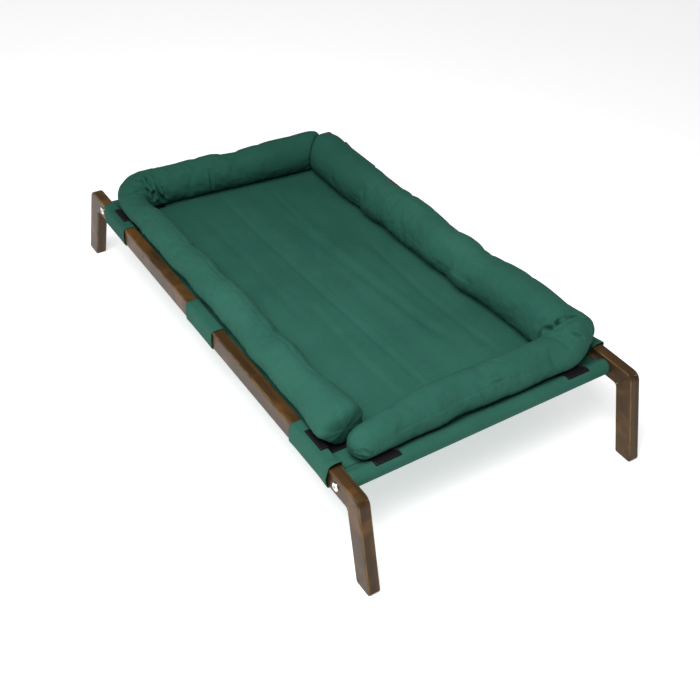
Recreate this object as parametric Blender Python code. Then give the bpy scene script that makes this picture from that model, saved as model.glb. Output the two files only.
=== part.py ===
"""Raised pet bed: a cloth sling between two splayed-leg side frames, with two bolsters round it.

Metres, +Z up. X runs along the bed, from the head end (-X) to the foot end (+X), and the left side
is -Y. The origin is on the floor under the middle of the bed.
"""

import math

import bmesh
import bpy
from mathutils import Vector

# Wooden side frames
RAIL_LENGTH = 1.000  # between the knees' outer corners
BED_WIDTH = 0.585  # over the rails' outer faces
RAIL_TOP = 0.167
BOARD_DEPTH = 0.036  # height of a rail, width of a leg
BOARD_THICKNESS = 0.022
LEG_SPLAY = math.radians(16.7)
KNEE_RADIUS = 0.018  # outer corner between rail and leg
CROOK_RADIUS = 0.008  # inner corner between rail and leg
SOLE_RADIUS = 0.005
EDGE_RADIUS = 0.003  # round-over on every long edge
CORNER_STEPS = 6  # flats in a rounded corner of a board
EDGE_STEPS = 3  # flats across a round-over

# Dowels across the glued mitre of each knee
DOWEL_RADIUS = 0.004
DOWEL_LENGTH = 0.018
DOWEL_CHAMFER = 0.001
DOWEL_TO_CROOK = 0.0095  # lower dowel to the crook, along the mitre
DOWEL_TO_KNEE = 0.0145  # upper dowel to the knee's outer corner, along the mitre
DOWEL_SIDES = 12

# Cross bars and the screws that hold them
CROSSBAR_RADIUS = 0.0125
CROSSBAR_TO_KNEE = 0.0583  # bar's axis to the knee's outer corner, along X
CROSSBAR_DROP = 0.0175  # bar's axis below the rail's top
CROSSBAR_CHAMFER = 0.0015
CROSSBAR_SIDES = 32
INSERT_RADIUS = 0.005
INSERT_LENGTH = 0.015
INSERT_CHAMFER = 0.0006
BOLT_RADIUS = 0.003
BOLT_REACH = 0.018  # screw beyond the rail's inner face
BOLT_HEAD_RADIUS = 0.00775
BOLT_HEAD_HEIGHT = 0.0024
BOLT_RIM = 0.0007  # rounding of the head's edge, chamfer of the tip
BOLT_SIDES = 24
SOCKET_RADIUS = 0.0023  # hexagon's middle to its corners
SOCKET_DEPTH = 0.0028

# Sling, side loops and hook-and-loop patches
CLOTH = 0.0012
PATCH = 0.0012
SEAM_TO_BAR = 0.022  # sleeve's stitched line to the bar's axis
SLEEVE_HEM = 0.018  # cloth turned under the sling past that line
SLEEVE_END_GAP = 0.001  # sleeve's open end to the rail
PANEL_TO_RAIL = 0.0060  # sling's side hem to the rail's inner face
PANEL_SAG = 0.005
PANEL_HOLD = 4  # how steeply the sag starts from the edges
CREASE_DEPTH = 0.0010
CREASE_SPACING = (0.088, 0.061)  # two overlapping sets of soft creases along the bed
SLING_ALONG = 12  # facets of the sling along X
SLING_ACROSS = 12  # facets of the sling along Y between the loops' inner ends
SLEEVE_STEPS = 10  # flats round a bar
LOOP_STEPS = 2  # flats in a loop's rounded corner
LOOP_OVERLAP = 0.0390  # loop sewn over the sling's hem
LOOP_EASE = 0.0011  # slack between a loop and the rail
LOOP_TO_BAR = {  # a corner loop's two ends to the bar's axis
    "left_head": (0.0175, 0.1125),
    "left_foot": (0.0185, 0.1335),
    "right_head": (0.0185, 0.1335),
    "right_foot": (0.0325, 0.1125),
}
LOOP_TAPER = 0.0050  # corner cut off a loop beside the sleeve
LOOP_FLARE = 0.005  # a corner loop's open end stands up by this much
LOOP_FLARE_LENGTH = 0.022
MIDDLE_LOOP_LENGTH = 0.098
MIDDLE_LOOP_SHIFT = 0.006  # towards the head end on the left rail, the foot end on the right
PATCH_WIDTH = 0.049
SIDE_PATCH_TO_BAR = {  # patch's centre line to the bar's axis
    "left_head": 0.065,
    "left_foot": 0.083,
    "right_head": 0.083,
    "right_foot": 0.083,
}
SIDE_PATCH_OVERHANG = 0.0135  # patch past the rail's inner face
END_PATCH_TO_RAIL = 0.071  # patch's centre line to the rail's inner face
END_PATCH_OVER_BAR = 0.0065
END_PATCH_LENGTH = 0.027  # inboard of the sleeve's stitched line
SOFT_PATCH_LENGTH = 0.036
SOFT_PATCH_WIDTH = 0.017
SOFT_PATCH_INSET = 0.0015  # soft patch inside the edge of the cloth below it

# Bolsters. A route runs along one arm, round its bend and along the other arm, and the tables
# give sizes at places on it: 0 at the first end, 1 and 2 where the bend starts and stops, and 3 at
# the second end.
LEFT_ARM_TO_RAIL = 0.0235  # arm's route to the rail's inner face
RIGHT_ARM_TO_RAIL = 0.045
HEAD_ARM_TO_BAR = 0.0165  # arm's route to the bar's axis
FOOT_ARM_TO_BAR = 0.0397
HEAD_END_TO_RAIL = 0.0540  # head arm's end to the rail's inner face
FOOT_END_TO_RAIL = 0.0235
RIGHT_END_TO_BAR = 0.0350  # right arm's end to the bar's axis
BEND_RADIUS = 0.047
# How far outside its route each bolster's middle line lies
LEFT_STRAY = (
    (0, -0.003), (0.5, -0.0068), (1, 0.0008), (2, 0), (2.65, -0.0175), (2.9, -0.0175), (3, -0.006),
)
RIGHT_STRAY = (
    (0, -0.022), (0.25, -0.0265), (0.62, -0.0165), (1, -0.001), (2, 0), (2.45, -0.004), (3, 0.008),
)
# Half widths
LEFT_GIRTH = (
    (0, 0.0395), (0.15, 0.0363), (0.45, 0.0353), (0.75, 0.0335), (1, 0.0308), (2, 0.0385),
    (3, 0.0415),
)
RIGHT_GIRTH = ((0, 0.0455), (0.6, 0.0447), (1, 0.048), (2, 0.036), (2.6, 0.0345), (3, 0.0295))
BOLSTER_RISE = 1.0  # half height as a share of the half width
KNUCKLES = {"left": (1.62, 0.001), "right": (1.21, 0.016)}  # bulge outside a bend: place, height
KNUCKLE_REACH = 0.3
FREE_END = (0.030, 0.8)  # rounded length, and its bluntness: 1 is round and 0 is square
MEETING_END = (0.045, 0.5)  # the same where the head arm and the right arm press on each other
MEETING_ANGLE = math.radians(49)  # between the face where they meet and the rails
BOLSTER_GATHER = 0.0008  # dimple where an end is gathered
BOLSTER_SPACE = 0.002  # between two bolsters where they meet
PRESSED = 0.18  # share of the half height pressed flat underneath
SEAT_EASE = 0.002  # a bolster's cover bridges the corners that it is pressed on
SEAT_BANK = 1.25  # slope at which a bolster climbs from the sling onto a rail
FOLD_ROOM = 0.004  # left open at the centre of a bend by the cloth folded inside it
WRINKLE = 0.10  # depth of the pinched folds inside a bend, as a share of the half width
LUMPS = ((0.012, 0.153), (0.010, 0.273))  # uneven stuffing: share of the half width, spacing
STATION = 0.031  # between a bolster's rings
BEND_STATION = 0.0067  # the same inside its bend
AROUND = 20  # points round a bolster
CAP_STEPS = 5  # rings in an end, the gather included

GAP = 0.0003  # between pieces that touch

# Places worked out from the sizes above
RAIL_Y = (BED_WIDTH - BOARD_THICKNESS) / 2
INNER_Y = BED_WIDTH / 2 - BOARD_THICKNESS
KNEE_X = RAIL_LENGTH / 2
BAR_X = KNEE_X - CROSSBAR_TO_KNEE
BAR_Z = RAIL_TOP - CROSSBAR_DROP
SEAM_X = BAR_X - SEAM_TO_BAR
SLEEVE_RADIUS = CROSSBAR_RADIUS + GAP + CLOTH / 2  # to the middle of the cloth
PANEL_Z = BAR_Z + (CLOTH + GAP) / 2
HEM_Z = BAR_Z - (CLOTH + GAP) / 2
PANEL_Y = INNER_Y - PANEL_TO_RAIL
SLEEVE_Y = INNER_Y - SLEEVE_END_GAP
LOOP_INNER_Y = PANEL_Y - LOOP_OVERLAP
LOOP_UPPER_Z = PANEL_Z + CLOTH + GAP
LOOP_LOWER_Z = PANEL_Z - CLOTH - GAP
LOOP_TOP_Z = RAIL_TOP + LOOP_EASE + CLOTH / 2
LOOP_RISE_Y = INNER_Y - GAP - CLOTH / 2
PATCH_OFFSET = CLOTH / 2 + GAP + PATCH / 2
END_PATCH_Y = INNER_Y - END_PATCH_TO_RAIL
LONG_SEAT_Z = LOOP_UPPER_Z + CLOTH / 2 + 2 * (PATCH + GAP) + GAP
SHORT_SEAT_Z = PANEL_Z + CLOTH / 2 + 2 * (PATCH + GAP) + GAP
SEAT_CLEAR = CLOTH / 2 + GAP + PATCH + GAP + SEAT_EASE  # over the middle of a cloth
RAIL_SEAT_Z = LOOP_TOP_Z + LOOP_FLARE + SEAT_CLEAR
BANK_Y = LOOP_RISE_Y - (RAIL_SEAT_Z - LONG_SEAT_Z) / SEAT_BANK  # where the climb starts
BEHIND = math.pi  # half a turn about Z takes a piece to the opposite corner
ALONG_Y = (math.pi / 2, 0, 0)


def clear_scene():
    for obj in list(bpy.data.objects):
        bpy.data.objects.remove(obj)


def finish(name, colour, roughness, metallic=0.0):
    """A plain material in the piece's own colour."""
    material = bpy.data.materials.new(name)
    material.use_nodes = True
    shader = material.node_tree.nodes["Principled BSDF"]
    shader.inputs["Base Color"].default_value = (*colour, 1.0)
    shader.inputs["Roughness"].default_value = roughness
    shader.inputs["Metallic"].default_value = metallic
    return material


def add(name, mesh, material=None, parent=None, location=(0, 0, 0), turn=(0, 0, 0)):
    """Places a mesh in the scene as one named piece."""
    obj = bpy.data.objects.new(name, mesh)
    bpy.context.scene.collection.objects.link(obj)
    if material and not mesh.materials:
        mesh.materials.append(material)
    obj.parent = parent
    obj.location = location
    obj.rotation_euler = turn
    return obj


def empty(name, location):
    return add(name, None, location=location)


def mesh_from(bm, name, smooth_angle=35):
    bmesh.ops.recalc_face_normals(bm, faces=bm.faces)
    mesh = bpy.data.meshes.new(name)
    bm.to_mesh(mesh)
    bm.free()
    mesh.shade_smooth()
    mesh.set_sharp_from_angle(angle=math.radians(smooth_angle))
    return mesh


def cut(obj, cutter):
    modifier = obj.modifiers.new(cutter.name, "BOOLEAN")
    modifier.operation = "DIFFERENCE"
    modifier.solver = "EXACT"
    modifier.object = cutter


def as_cutter(obj):
    obj.hide_render = True
    obj.display_type = "WIRE"
    return obj


def rounded(corners, steps, closed=True):
    """Points along a path whose (x, z, radius) corners are rounded by arcs of a number of steps."""
    points = []
    for index, (x, z, radius) in enumerate(corners):
        corner = Vector((x, z))
        at_end = index in (0, len(corners) - 1) and not closed
        if at_end or radius == 0:
            points.append(corner)
            continue
        before = (Vector(corners[index - 1][:2]) - corner).normalized()
        after = (Vector(corners[(index + 1) % len(corners)][:2]) - corner).normalized()
        half = before.angle(after) / 2
        centre = corner + (before + after).normalized() * radius / math.sin(half)
        start = corner + before * radius / math.tan(half) - centre
        sweep = start.angle_signed(corner + after * radius / math.tan(half) - centre)
        for step in range(steps + 1):
            angle = -sweep * step / steps
            turned = Vector((
                start.x * math.cos(angle) - start.y * math.sin(angle),
                start.x * math.sin(angle) + start.y * math.cos(angle),
            ))
            points.append(centre + turned)
    return points


def offset(points, distance):
    """The same open path, moved sideways to its left."""
    moved = []
    last = len(points) - 1
    for index, point in enumerate(points):
        before = (point - points[index - 1] if index else points[1] - point).normalized()
        after = (points[index + 1] - point).normalized() if index < last else before
        middle = (before + after).normalized()
        moved.append(point + Vector((-middle.y, middle.x)) * distance / middle.dot(before))
    return moved


def turned_mesh(name, profile, segments):
    """Turns (radius, height) points about Z; a profile starts and ends on the axis or on itself."""
    bm = bmesh.new()
    verts = [bm.verts.new((radius, 0, height)) for radius, height in profile]
    edges = [bm.edges.new(pair) for pair in zip(verts, verts[1:])]
    bmesh.ops.spin(
        bm, geom=verts + edges, cent=(0, 0, 0), axis=(0, 0, 1), angle=2 * math.pi,
        steps=segments, use_merge=True,
    )
    bmesh.ops.remove_doubles(bm, verts=bm.verts, dist=1e-6)
    return mesh_from(bm, name)


def cloth_mesh(name, rows):
    """A sheet through rows of points, to be given its thickness by a Solidify modifier."""
    bm = bmesh.new()
    grid = [[bm.verts.new(point) for point in row] for row in rows]
    for near, far in zip(grid, grid[1:]):
        for index in range(len(near) - 1):
            bm.faces.new((near[index], near[index + 1], far[index + 1], far[index]))
    return mesh_from(bm, name)


def thicken(obj, thickness):
    modifier = obj.modifiers.new("cloth thickness", "SOLIDIFY")
    modifier.thickness = thickness
    modifier.offset = 0
    modifier.use_even_offset = True


# Side frame: one board shape, parted at the two mitres and doweled

def mitre():
    """The crook, the knee's corner at the mitre's other end, and the way out into the leg."""
    crook_x = KNEE_X + BOARD_DEPTH * math.tan(LEG_SPLAY) - BOARD_DEPTH / math.cos(LEG_SPLAY)
    crook = Vector((crook_x, 0, RAIL_TOP - BOARD_DEPTH))
    knee = Vector((KNEE_X, 0, RAIL_TOP))
    along = (knee - crook).normalized()
    return crook, knee, Vector((along.z, 0, -along.x))


def board_blank():
    """Rail and both legs as one rounded-over board, upright on the floor along X."""
    crook, _, _ = mitre()
    foot_x = KNEE_X + RAIL_TOP * math.tan(LEG_SPLAY)
    heel_x = foot_x - BOARD_DEPTH / math.cos(LEG_SPLAY)
    half = [
        (heel_x, 0, SOLE_RADIUS),
        (foot_x, 0, SOLE_RADIUS),
        (KNEE_X, RAIL_TOP, KNEE_RADIUS),
    ]
    other = [(-x, z, radius) for x, z, radius in reversed(half)]
    crooks = [(-crook.x, crook.z, CROOK_RADIUS), (crook.x, crook.z, CROOK_RADIUS)]
    outline = rounded(half + other + crooks, CORNER_STEPS)
    bm = bmesh.new()
    side = bm.faces.new([bm.verts.new((x, -BOARD_THICKNESS / 2, z)) for x, z in outline])
    far = bmesh.ops.extrude_face_region(bm, geom=[side])["geom"]
    far_verts = [item for item in far if isinstance(item, bmesh.types.BMVert)]
    bmesh.ops.translate(bm, verts=far_verts, vec=(0, BOARD_THICKNESS, 0))
    long_edges = [
        edge for edge in bm.edges if abs(edge.verts[0].co.y - edge.verts[1].co.y) < EDGE_RADIUS
    ]
    bmesh.ops.bevel(
        bm, geom=long_edges, offset=EDGE_RADIUS, segments=EDGE_STEPS, profile=0.5,
        affect="EDGES", clamp_overlap=False,
    )
    return bm


def saw(bm, point, normal):
    """Takes off what lies beyond a plane and closes the cut."""
    everything = bm.verts[:] + bm.edges[:] + bm.faces[:]
    sawn = bmesh.ops.bisect_plane(
        bm, geom=everything, plane_co=point, plane_no=normal, clear_outer=True
    )
    rim = [item for item in sawn["geom_cut"] if isinstance(item, bmesh.types.BMEdge)]
    bmesh.ops.contextual_create(bm, geom=rim)


def rail_mesh():
    bm = board_blank()
    crook, _, outward = mitre()
    saw(bm, crook - outward * GAP / 2, outward)
    outward.x = -outward.x
    saw(bm, Vector((-crook.x, 0, crook.z)) - outward * GAP / 2, outward)
    return mesh_from(bm, "rail")


def leg_mesh():
    """The leg at the foot end."""
    bm = board_blank()
    crook, _, outward = mitre()
    saw(bm, crook + outward * GAP / 2, -outward)
    return mesh_from(bm, "leg")


def dowel_profile(radius, length, chamfer):
    half = length / 2
    return [
        (0, -half), (radius - chamfer, -half), (radius, chamfer - half),
        (radius, half - chamfer), (radius - chamfer, half), (0, half),
    ]


def build_side_frames(wood, dowel_wood):
    rail = rail_mesh()
    leg = leg_mesh()
    pin = dowel_profile(DOWEL_RADIUS, DOWEL_LENGTH, DOWEL_CHAMFER)
    dowel = turned_mesh("dowel", pin, DOWEL_SIDES)
    pin_hole = dowel_profile(DOWEL_RADIUS + GAP, DOWEL_LENGTH + 2 * GAP, DOWEL_CHAMFER)
    dowel_drill = turned_mesh("dowel drill", pin_hole, DOWEL_SIDES)
    screw_hole = dowel_profile(BOLT_RADIUS + GAP, 2 * BOARD_THICKNESS, 0)
    bolt_drill = turned_mesh("bolt drill", screw_hole, BOLT_SIDES)
    crook, knee, outward = mitre()
    along = (knee - crook).normalized()
    dowel_spots = {
        "lower": crook + along * DOWEL_TO_CROOK, "upper": knee - along * DOWEL_TO_KNEE,
    }
    lean = math.atan2(outward.x, outward.z)
    for side, rail_y in (("left", -RAIL_Y), ("right", RAIL_Y)):
        frame = empty(f"side_frame_{side}", (0, rail_y, 0))
        rail_piece = add(f"rail_{side}", rail, wood, frame)
        for end, way, turn in (("head", -1, BEHIND), ("foot", 1, 0)):
            leg_piece = add(f"leg_{side}_{end}", leg, wood, frame, turn=(0, 0, turn))
            for place, at in dowel_spots.items():
                spot = (at.x * way, at.y, at.z)
                tilt = (0, lean * way, 0)
                add(f"dowel_{side}_{end}_{place}", dowel, dowel_wood, frame, spot, tilt)
                name = f"dowel_hole_{side}_{end}_{place}"
                hole = as_cutter(add(name, dowel_drill, None, frame, spot, tilt))
                cut(rail_piece, hole)
                cut(leg_piece, hole)
            name = f"bolt_hole_{side}_{end}"
            spot = (way * BAR_X, 0, BAR_Z)
            cut(rail_piece, as_cutter(add(name, bolt_drill, None, frame, spot, ALONG_Y)))


# Cross bars, with a threaded insert in each end and a screw through each rail

def insert_profile():
    bore = BOLT_RADIUS + GAP
    return [
        (bore, 0), (INSERT_RADIUS, 0), (INSERT_RADIUS, INSERT_CHAMFER - INSERT_LENGTH),
        (INSERT_RADIUS - INSERT_CHAMFER, -INSERT_LENGTH), (bore, -INSERT_LENGTH), (bore, 0),
    ]


def bolt_profile():
    """Low round head standing on the rail at height 0, and the shank below it."""
    top = GAP + BOLT_HEAD_HEIGHT
    tip = -BOARD_THICKNESS - BOLT_REACH
    return [
        (0, top), (BOLT_HEAD_RADIUS - 2 * BOLT_RIM, top),
        (BOLT_HEAD_RADIUS - BOLT_RIM / 2, top - BOLT_RIM / 2),
        (BOLT_HEAD_RADIUS, top - 2 * BOLT_RIM), (BOLT_HEAD_RADIUS, GAP), (BOLT_RADIUS, GAP),
        (BOLT_RADIUS, tip + BOLT_RIM), (BOLT_RADIUS - BOLT_RIM, tip), (0, tip),
    ]


def build_crossbars(bar_wood, zinc, nickel):
    half = INNER_Y - GAP
    pocket = half - INSERT_LENGTH - GAP
    tip = half - BOLT_REACH - 2 * GAP
    bore = [
        (0, tip), (BOLT_RADIUS + GAP, tip), (BOLT_RADIUS + GAP, pocket),
        (INSERT_RADIUS + GAP, pocket), (INSERT_RADIUS + GAP, half),
        (CROSSBAR_RADIUS - CROSSBAR_CHAMFER, half), (CROSSBAR_RADIUS, half - CROSSBAR_CHAMFER),
    ]
    far_end = [(radius, -height) for radius, height in reversed(bore)]
    bar = turned_mesh("crossbar", bore + far_end, CROSSBAR_SIDES)
    insert = turned_mesh("insert", insert_profile(), BOLT_SIDES)
    bolt = turned_mesh("bolt", bolt_profile(), BOLT_SIDES)
    key = turned_mesh("hexagon key", dowel_profile(SOCKET_RADIUS, 2 * SOCKET_DEPTH, 0), 6)
    for end, way in (("head", -1), ("foot", 1)):
        add(f"crossbar_{end}", bar, bar_wood, None, (way * BAR_X, 0, BAR_Z), ALONG_Y)
        for side, out in (("left", -1), ("right", 1)):
            facing = (-out * math.pi / 2, 0, 0)
            spot = Vector((way * BAR_X, out * half, BAR_Z))
            add(f"insert_nut_{side}_{end}", insert, zinc, None, spot, facing)
            spot.y = out * BED_WIDTH / 2
            screw = add(f"bolt_{side}_{end}", bolt, nickel, None, spot, facing)
            top = (0, 0, GAP + BOLT_HEAD_HEIGHT)
            cut(screw, as_cutter(add(f"bolt_socket_{side}_{end}", key, None, screw, top)))


# Sling: one cloth whose short ends are folded round the bars and stitched underneath

def sleeve_wrap():
    """Points on the cloth's middle, from the stitched line over the foot bar and back under it.

    The turned stretch is a polygon drawn outside the circle, so that its flats clear the bar.
    """
    seam = Vector((SEAM_X, PANEL_Z))
    bar = Vector((BAR_X, BAR_Z))
    to_seam = seam - bar
    start = math.atan2(to_seam.y, to_seam.x) - math.acos(SLEEVE_RADIUS / to_seam.length)
    half_step = start / SLEEVE_STEPS
    radius = SLEEVE_RADIUS / math.cos(half_step)
    over = [
        bar + radius * Vector((math.cos(angle), math.sin(angle)))
        for angle in (start - half_step * (2 * step + 1) for step in range(SLEEVE_STEPS))
    ]
    return [seam] + over + [Vector((SEAM_X, HEM_Z))]


def panel_height(x, y):
    """The bed surface: a shallow sag with a few soft creases along it."""
    reach_x = 1 - min(abs(x) / (SEAM_X - SLEEVE_HEM), 1) ** PANEL_HOLD
    reach_y = 1 - min(abs(y) / (LOOP_INNER_Y - GAP), 1) ** PANEL_HOLD
    crease = sum(math.sin(2 * math.pi * y / spacing) for spacing in CREASE_SPACING)
    return PANEL_Z - reach_x * reach_y * (PANEL_SAG + CREASE_DEPTH * crease)


def sling_mesh():
    inner = LOOP_INNER_Y / PANEL_Y
    steps = range(SLING_ACROSS + 1)
    shares = [-1] + [inner * (2 * step / SLING_ACROSS - 1) for step in steps] + [1]
    wrap = sleeve_wrap()
    half_rows = [(point.x, point.y, SLEEVE_Y) for point in wrap[1:-1]]
    half_rows.append((SEAM_X, HEM_Z, LOOP_INNER_Y - GAP))
    half_rows.append((SEAM_X - SLEEVE_HEM, HEM_Z, LOOP_INNER_Y - GAP))
    flat_x = SEAM_X - SLEEVE_HEM - 2 * CLOTH
    panel_x = [flat_x * (2 * step / SLING_ALONG - 1) for step in range(SLING_ALONG + 1)]
    rows = []
    for x, z, half_width in reversed(half_rows):
        rows.append([(-x, half_width * share, z) for share in shares])
    for x in [-SEAM_X] + panel_x + [SEAM_X]:
        rows.append([(x, PANEL_Y * share, panel_height(x, PANEL_Y * share)) for share in shares])
    for x, z, half_width in half_rows:
        rows.append([(x, half_width * share, z) for share in shares])
    return cloth_mesh("sling", rows)


def loop_corners(rise):
    """A loop's section in Y and Z: over the sling's hem, round the right rail and back under."""
    outer_y = BED_WIDTH / 2 + LOOP_EASE + CLOTH / 2
    top_z = LOOP_TOP_Z + rise
    bottom_z = RAIL_TOP - BOARD_DEPTH - LOOP_EASE - CLOTH / 2
    soft = EDGE_RADIUS + LOOP_EASE
    return [
        (LOOP_INNER_Y, LOOP_UPPER_Z, 0), (PANEL_Y, LOOP_UPPER_Z, soft / 2),
        (LOOP_RISE_Y, top_z, soft), (outer_y, top_z, soft),
        (outer_y, bottom_z, soft), (LOOP_RISE_Y, bottom_z, soft),
        (PANEL_Y, LOOP_LOWER_Z, soft / 2), (LOOP_INNER_Y, LOOP_LOWER_Z, 0),
    ]


def loop_mesh(name, start, end, flare):
    """A loop round the right rail. A corner loop flares where it is cut back beside the sleeve:
    towards +X where flare is 1, and towards -X where it is -1."""
    stations = [(start, 0, 0), (end, LOOP_FLARE * abs(flare), LOOP_TAPER * flare)]
    if flare:
        stations.insert(1, (end - LOOP_FLARE_LENGTH * flare, 0, 0))
    rows = []
    for x, rise, taper in stations:
        section = rounded(loop_corners(rise), LOOP_STEPS, closed=False)
        inboard = LOOP_RISE_Y - LOOP_EASE
        rows.append([(x - (taper if y < inboard else 0), y, z) for y, z in section])
    return cloth_mesh(name, rows)


def strip_rows(path, start, end, along_x):
    """Rows of a strip whose section is a path; along_x says that it is wide along X, not Y."""
    if along_x:
        return [[(place, y, z) for y, z in path] for place in (start, end)]
    return [[(x, place, z) for x, z in path] for place in (start, end)]


def side_patch_mesh(centre):
    """A hook patch on a corner loop, from under the bolster up over the right rail."""
    corners = loop_corners(0)[:3]
    corners[0] = (LOOP_INNER_Y + GAP, LOOP_UPPER_Z, 0)
    corners.append((INNER_Y + SIDE_PATCH_OVERHANG, LOOP_TOP_Z, 0))
    path = offset(rounded(corners, LOOP_STEPS, closed=False), PATCH_OFFSET)
    start = centre - PATCH_WIDTH / 2
    return cloth_mesh("side patch", strip_rows(path, start, start + PATCH_WIDTH, True))


def end_patch_mesh(side):
    """A hook patch on the foot sleeve, from under the bolster up over the bar; side is -1 or 1."""
    wrap = sleeve_wrap()
    past_bar = BAR_X + END_PATCH_OVER_BAR
    over = [point for point in wrap[1:] if point.x < past_bar and point.y > BAR_Z]
    path = offset([Vector((SEAM_X - END_PATCH_LENGTH, PANEL_Z)), wrap[0]] + over, PATCH_OFFSET)
    start = side * END_PATCH_Y - PATCH_WIDTH / 2
    return cloth_mesh("end patch", strip_rows(path, start, start + PATCH_WIDTH, False))


def build_cloth(canvas, hook_tape):
    def sew(name, mesh, material, thickness, turn=0.0):
        thicken(add(name, mesh, material, turn=(0, 0, turn)), thickness)

    sew("sling", sling_mesh(), canvas, CLOTH)
    for name, (outer, inner) in LOOP_TO_BAR.items():
        way = 1 if name in ("right_foot", "left_head") else -1
        turn = 0 if name.startswith("right") else BEHIND
        mesh = loop_mesh(f"{name} loop", way * (BAR_X - inner), way * (BAR_X - outer), way)
        sew(f"side_loop_{name}", mesh, canvas, CLOTH, turn)
    start = MIDDLE_LOOP_SHIFT - MIDDLE_LOOP_LENGTH / 2
    middle_loop = loop_mesh("middle loop", start, start + MIDDLE_LOOP_LENGTH, 0)
    sew("side_loop_right_middle", middle_loop, canvas, CLOTH)
    sew("side_loop_left_middle", middle_loop, canvas, CLOTH, BEHIND)
    for name, to_bar in SIDE_PATCH_TO_BAR.items():
        way = 1 if name in ("right_foot", "left_head") else -1
        turn = 0 if name.startswith("right") else BEHIND
        mesh = side_patch_mesh(way * (BAR_X - to_bar))
        sew(f"hook_patch_side_{name}", mesh, hook_tape, PATCH, turn)
    for side, other, way in (("left", "right", -1), ("right", "left", 1)):
        patch = end_patch_mesh(way)
        sew(f"hook_patch_end_{side}_foot", patch, hook_tape, PATCH)
        sew(f"hook_patch_end_{other}_head", patch, hook_tape, PATCH, BEHIND)


# Bolsters: two stuffed tubes, each bent once, pressed flat where they lie on the sling

def seat_height(x, y):
    """How low a bolster may reach: on the patches, up on to the rails and over the bars."""
    blend = min(max((abs(y) - LOOP_INNER_Y) / SLEEVE_HEM + 2, 0), 1)
    height = SHORT_SEAT_Z + (LONG_SEAT_Z - SHORT_SEAT_Z) * blend
    by_rail = LONG_SEAT_Z + max(abs(y) - BANK_Y, 0) * SEAT_BANK
    height = max(height, min(by_rail, RAIL_SEAT_Z))
    rise = math.tan(math.asin(SLEEVE_RADIUS / SEAM_TO_BAR))
    by_bar = SHORT_SEAT_Z + max(abs(x) - SEAM_X + SEAT_EASE, 0) * rise
    return max(height, min(by_bar, BAR_Z + SLEEVE_RADIUS + SEAT_CLEAR))


def eased(table, place):
    """A table's value at a place, going smoothly from one entry to the next."""
    for (start, before), (end, after) in zip(table, table[1:]):
        if place <= end:
            share = max(place - start, 0) / (end - start)
            return before + (after - before) * share ** 2 * (3 - 2 * share)
    return table[-1][1]


def end_distances(end):
    """Distances of an end's rings from its tip."""
    turns = [math.pi / 2 * step / CAP_STEPS for step in range(1, CAP_STEPS)]
    return [end[0] * (1 - math.cos(turn)) for turn in turns]


def bolster_route(first_tip, corner, second_tip, ends):
    """Stations (distance, point, direction) along a bolster, from one end round its bend."""
    first = (corner - first_tip).normalized()
    second = (second_tip - corner).normalized()
    start = corner - first * BEND_RADIUS
    end = corner + second * BEND_RADIUS
    centre = start + second * BEND_RADIUS
    lengths = [(start - first_tip).length, BEND_RADIUS * math.pi / 2, (second_tip - end).length]
    total = sum(lengths)
    distances = end_distances(ends[0])
    for begin, finish_at, spacing in (
        (ends[0][0], lengths[0], STATION),
        (lengths[0], total - lengths[2], BEND_STATION),
        (total - lengths[2], total - ends[1][0], STATION),
    ):
        count = math.ceil((finish_at - begin) / spacing)
        distances += [begin + (finish_at - begin) * step / count for step in range(count)]
    distances.append(total - ends[1][0])
    distances += [total - distance for distance in reversed(end_distances(ends[1]))]
    route = []
    for distance in distances:
        if distance <= lengths[0]:
            route.append((distance, first_tip + first * distance, first))
        elif distance >= total - lengths[2]:
            route.append((distance, second_tip - second * (total - distance), second))
        else:
            angle = (distance - lengths[0]) / BEND_RADIUS
            direction = first * math.cos(angle) + second * math.sin(angle)
            outward = first * math.sin(angle) - second * math.cos(angle)
            route.append((distance, centre + outward * BEND_RADIUS, direction))
    return route, lengths


def place_on(distance, lengths):
    """The place in the bolsters' tables of a distance along a route."""
    for index, length in enumerate(lengths):
        if distance <= length or index == 2:
            return index + distance / length
        distance -= length


def fullness(distance, total, ends):
    """Share of an arm's half width and half height: lumpy along it, closing at its ends."""
    lumps = sum(share * math.sin(2 * math.pi * distance / spacing) for share, spacing in LUMPS)
    full = 1 + lumps
    for to_tip, (cap, bluntness) in ((distance, ends[0]), (total - distance, ends[1])):
        full *= (1 - (1 - min(to_tip / cap, 1)) ** 2) ** (bluntness / 2)
    return full


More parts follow.
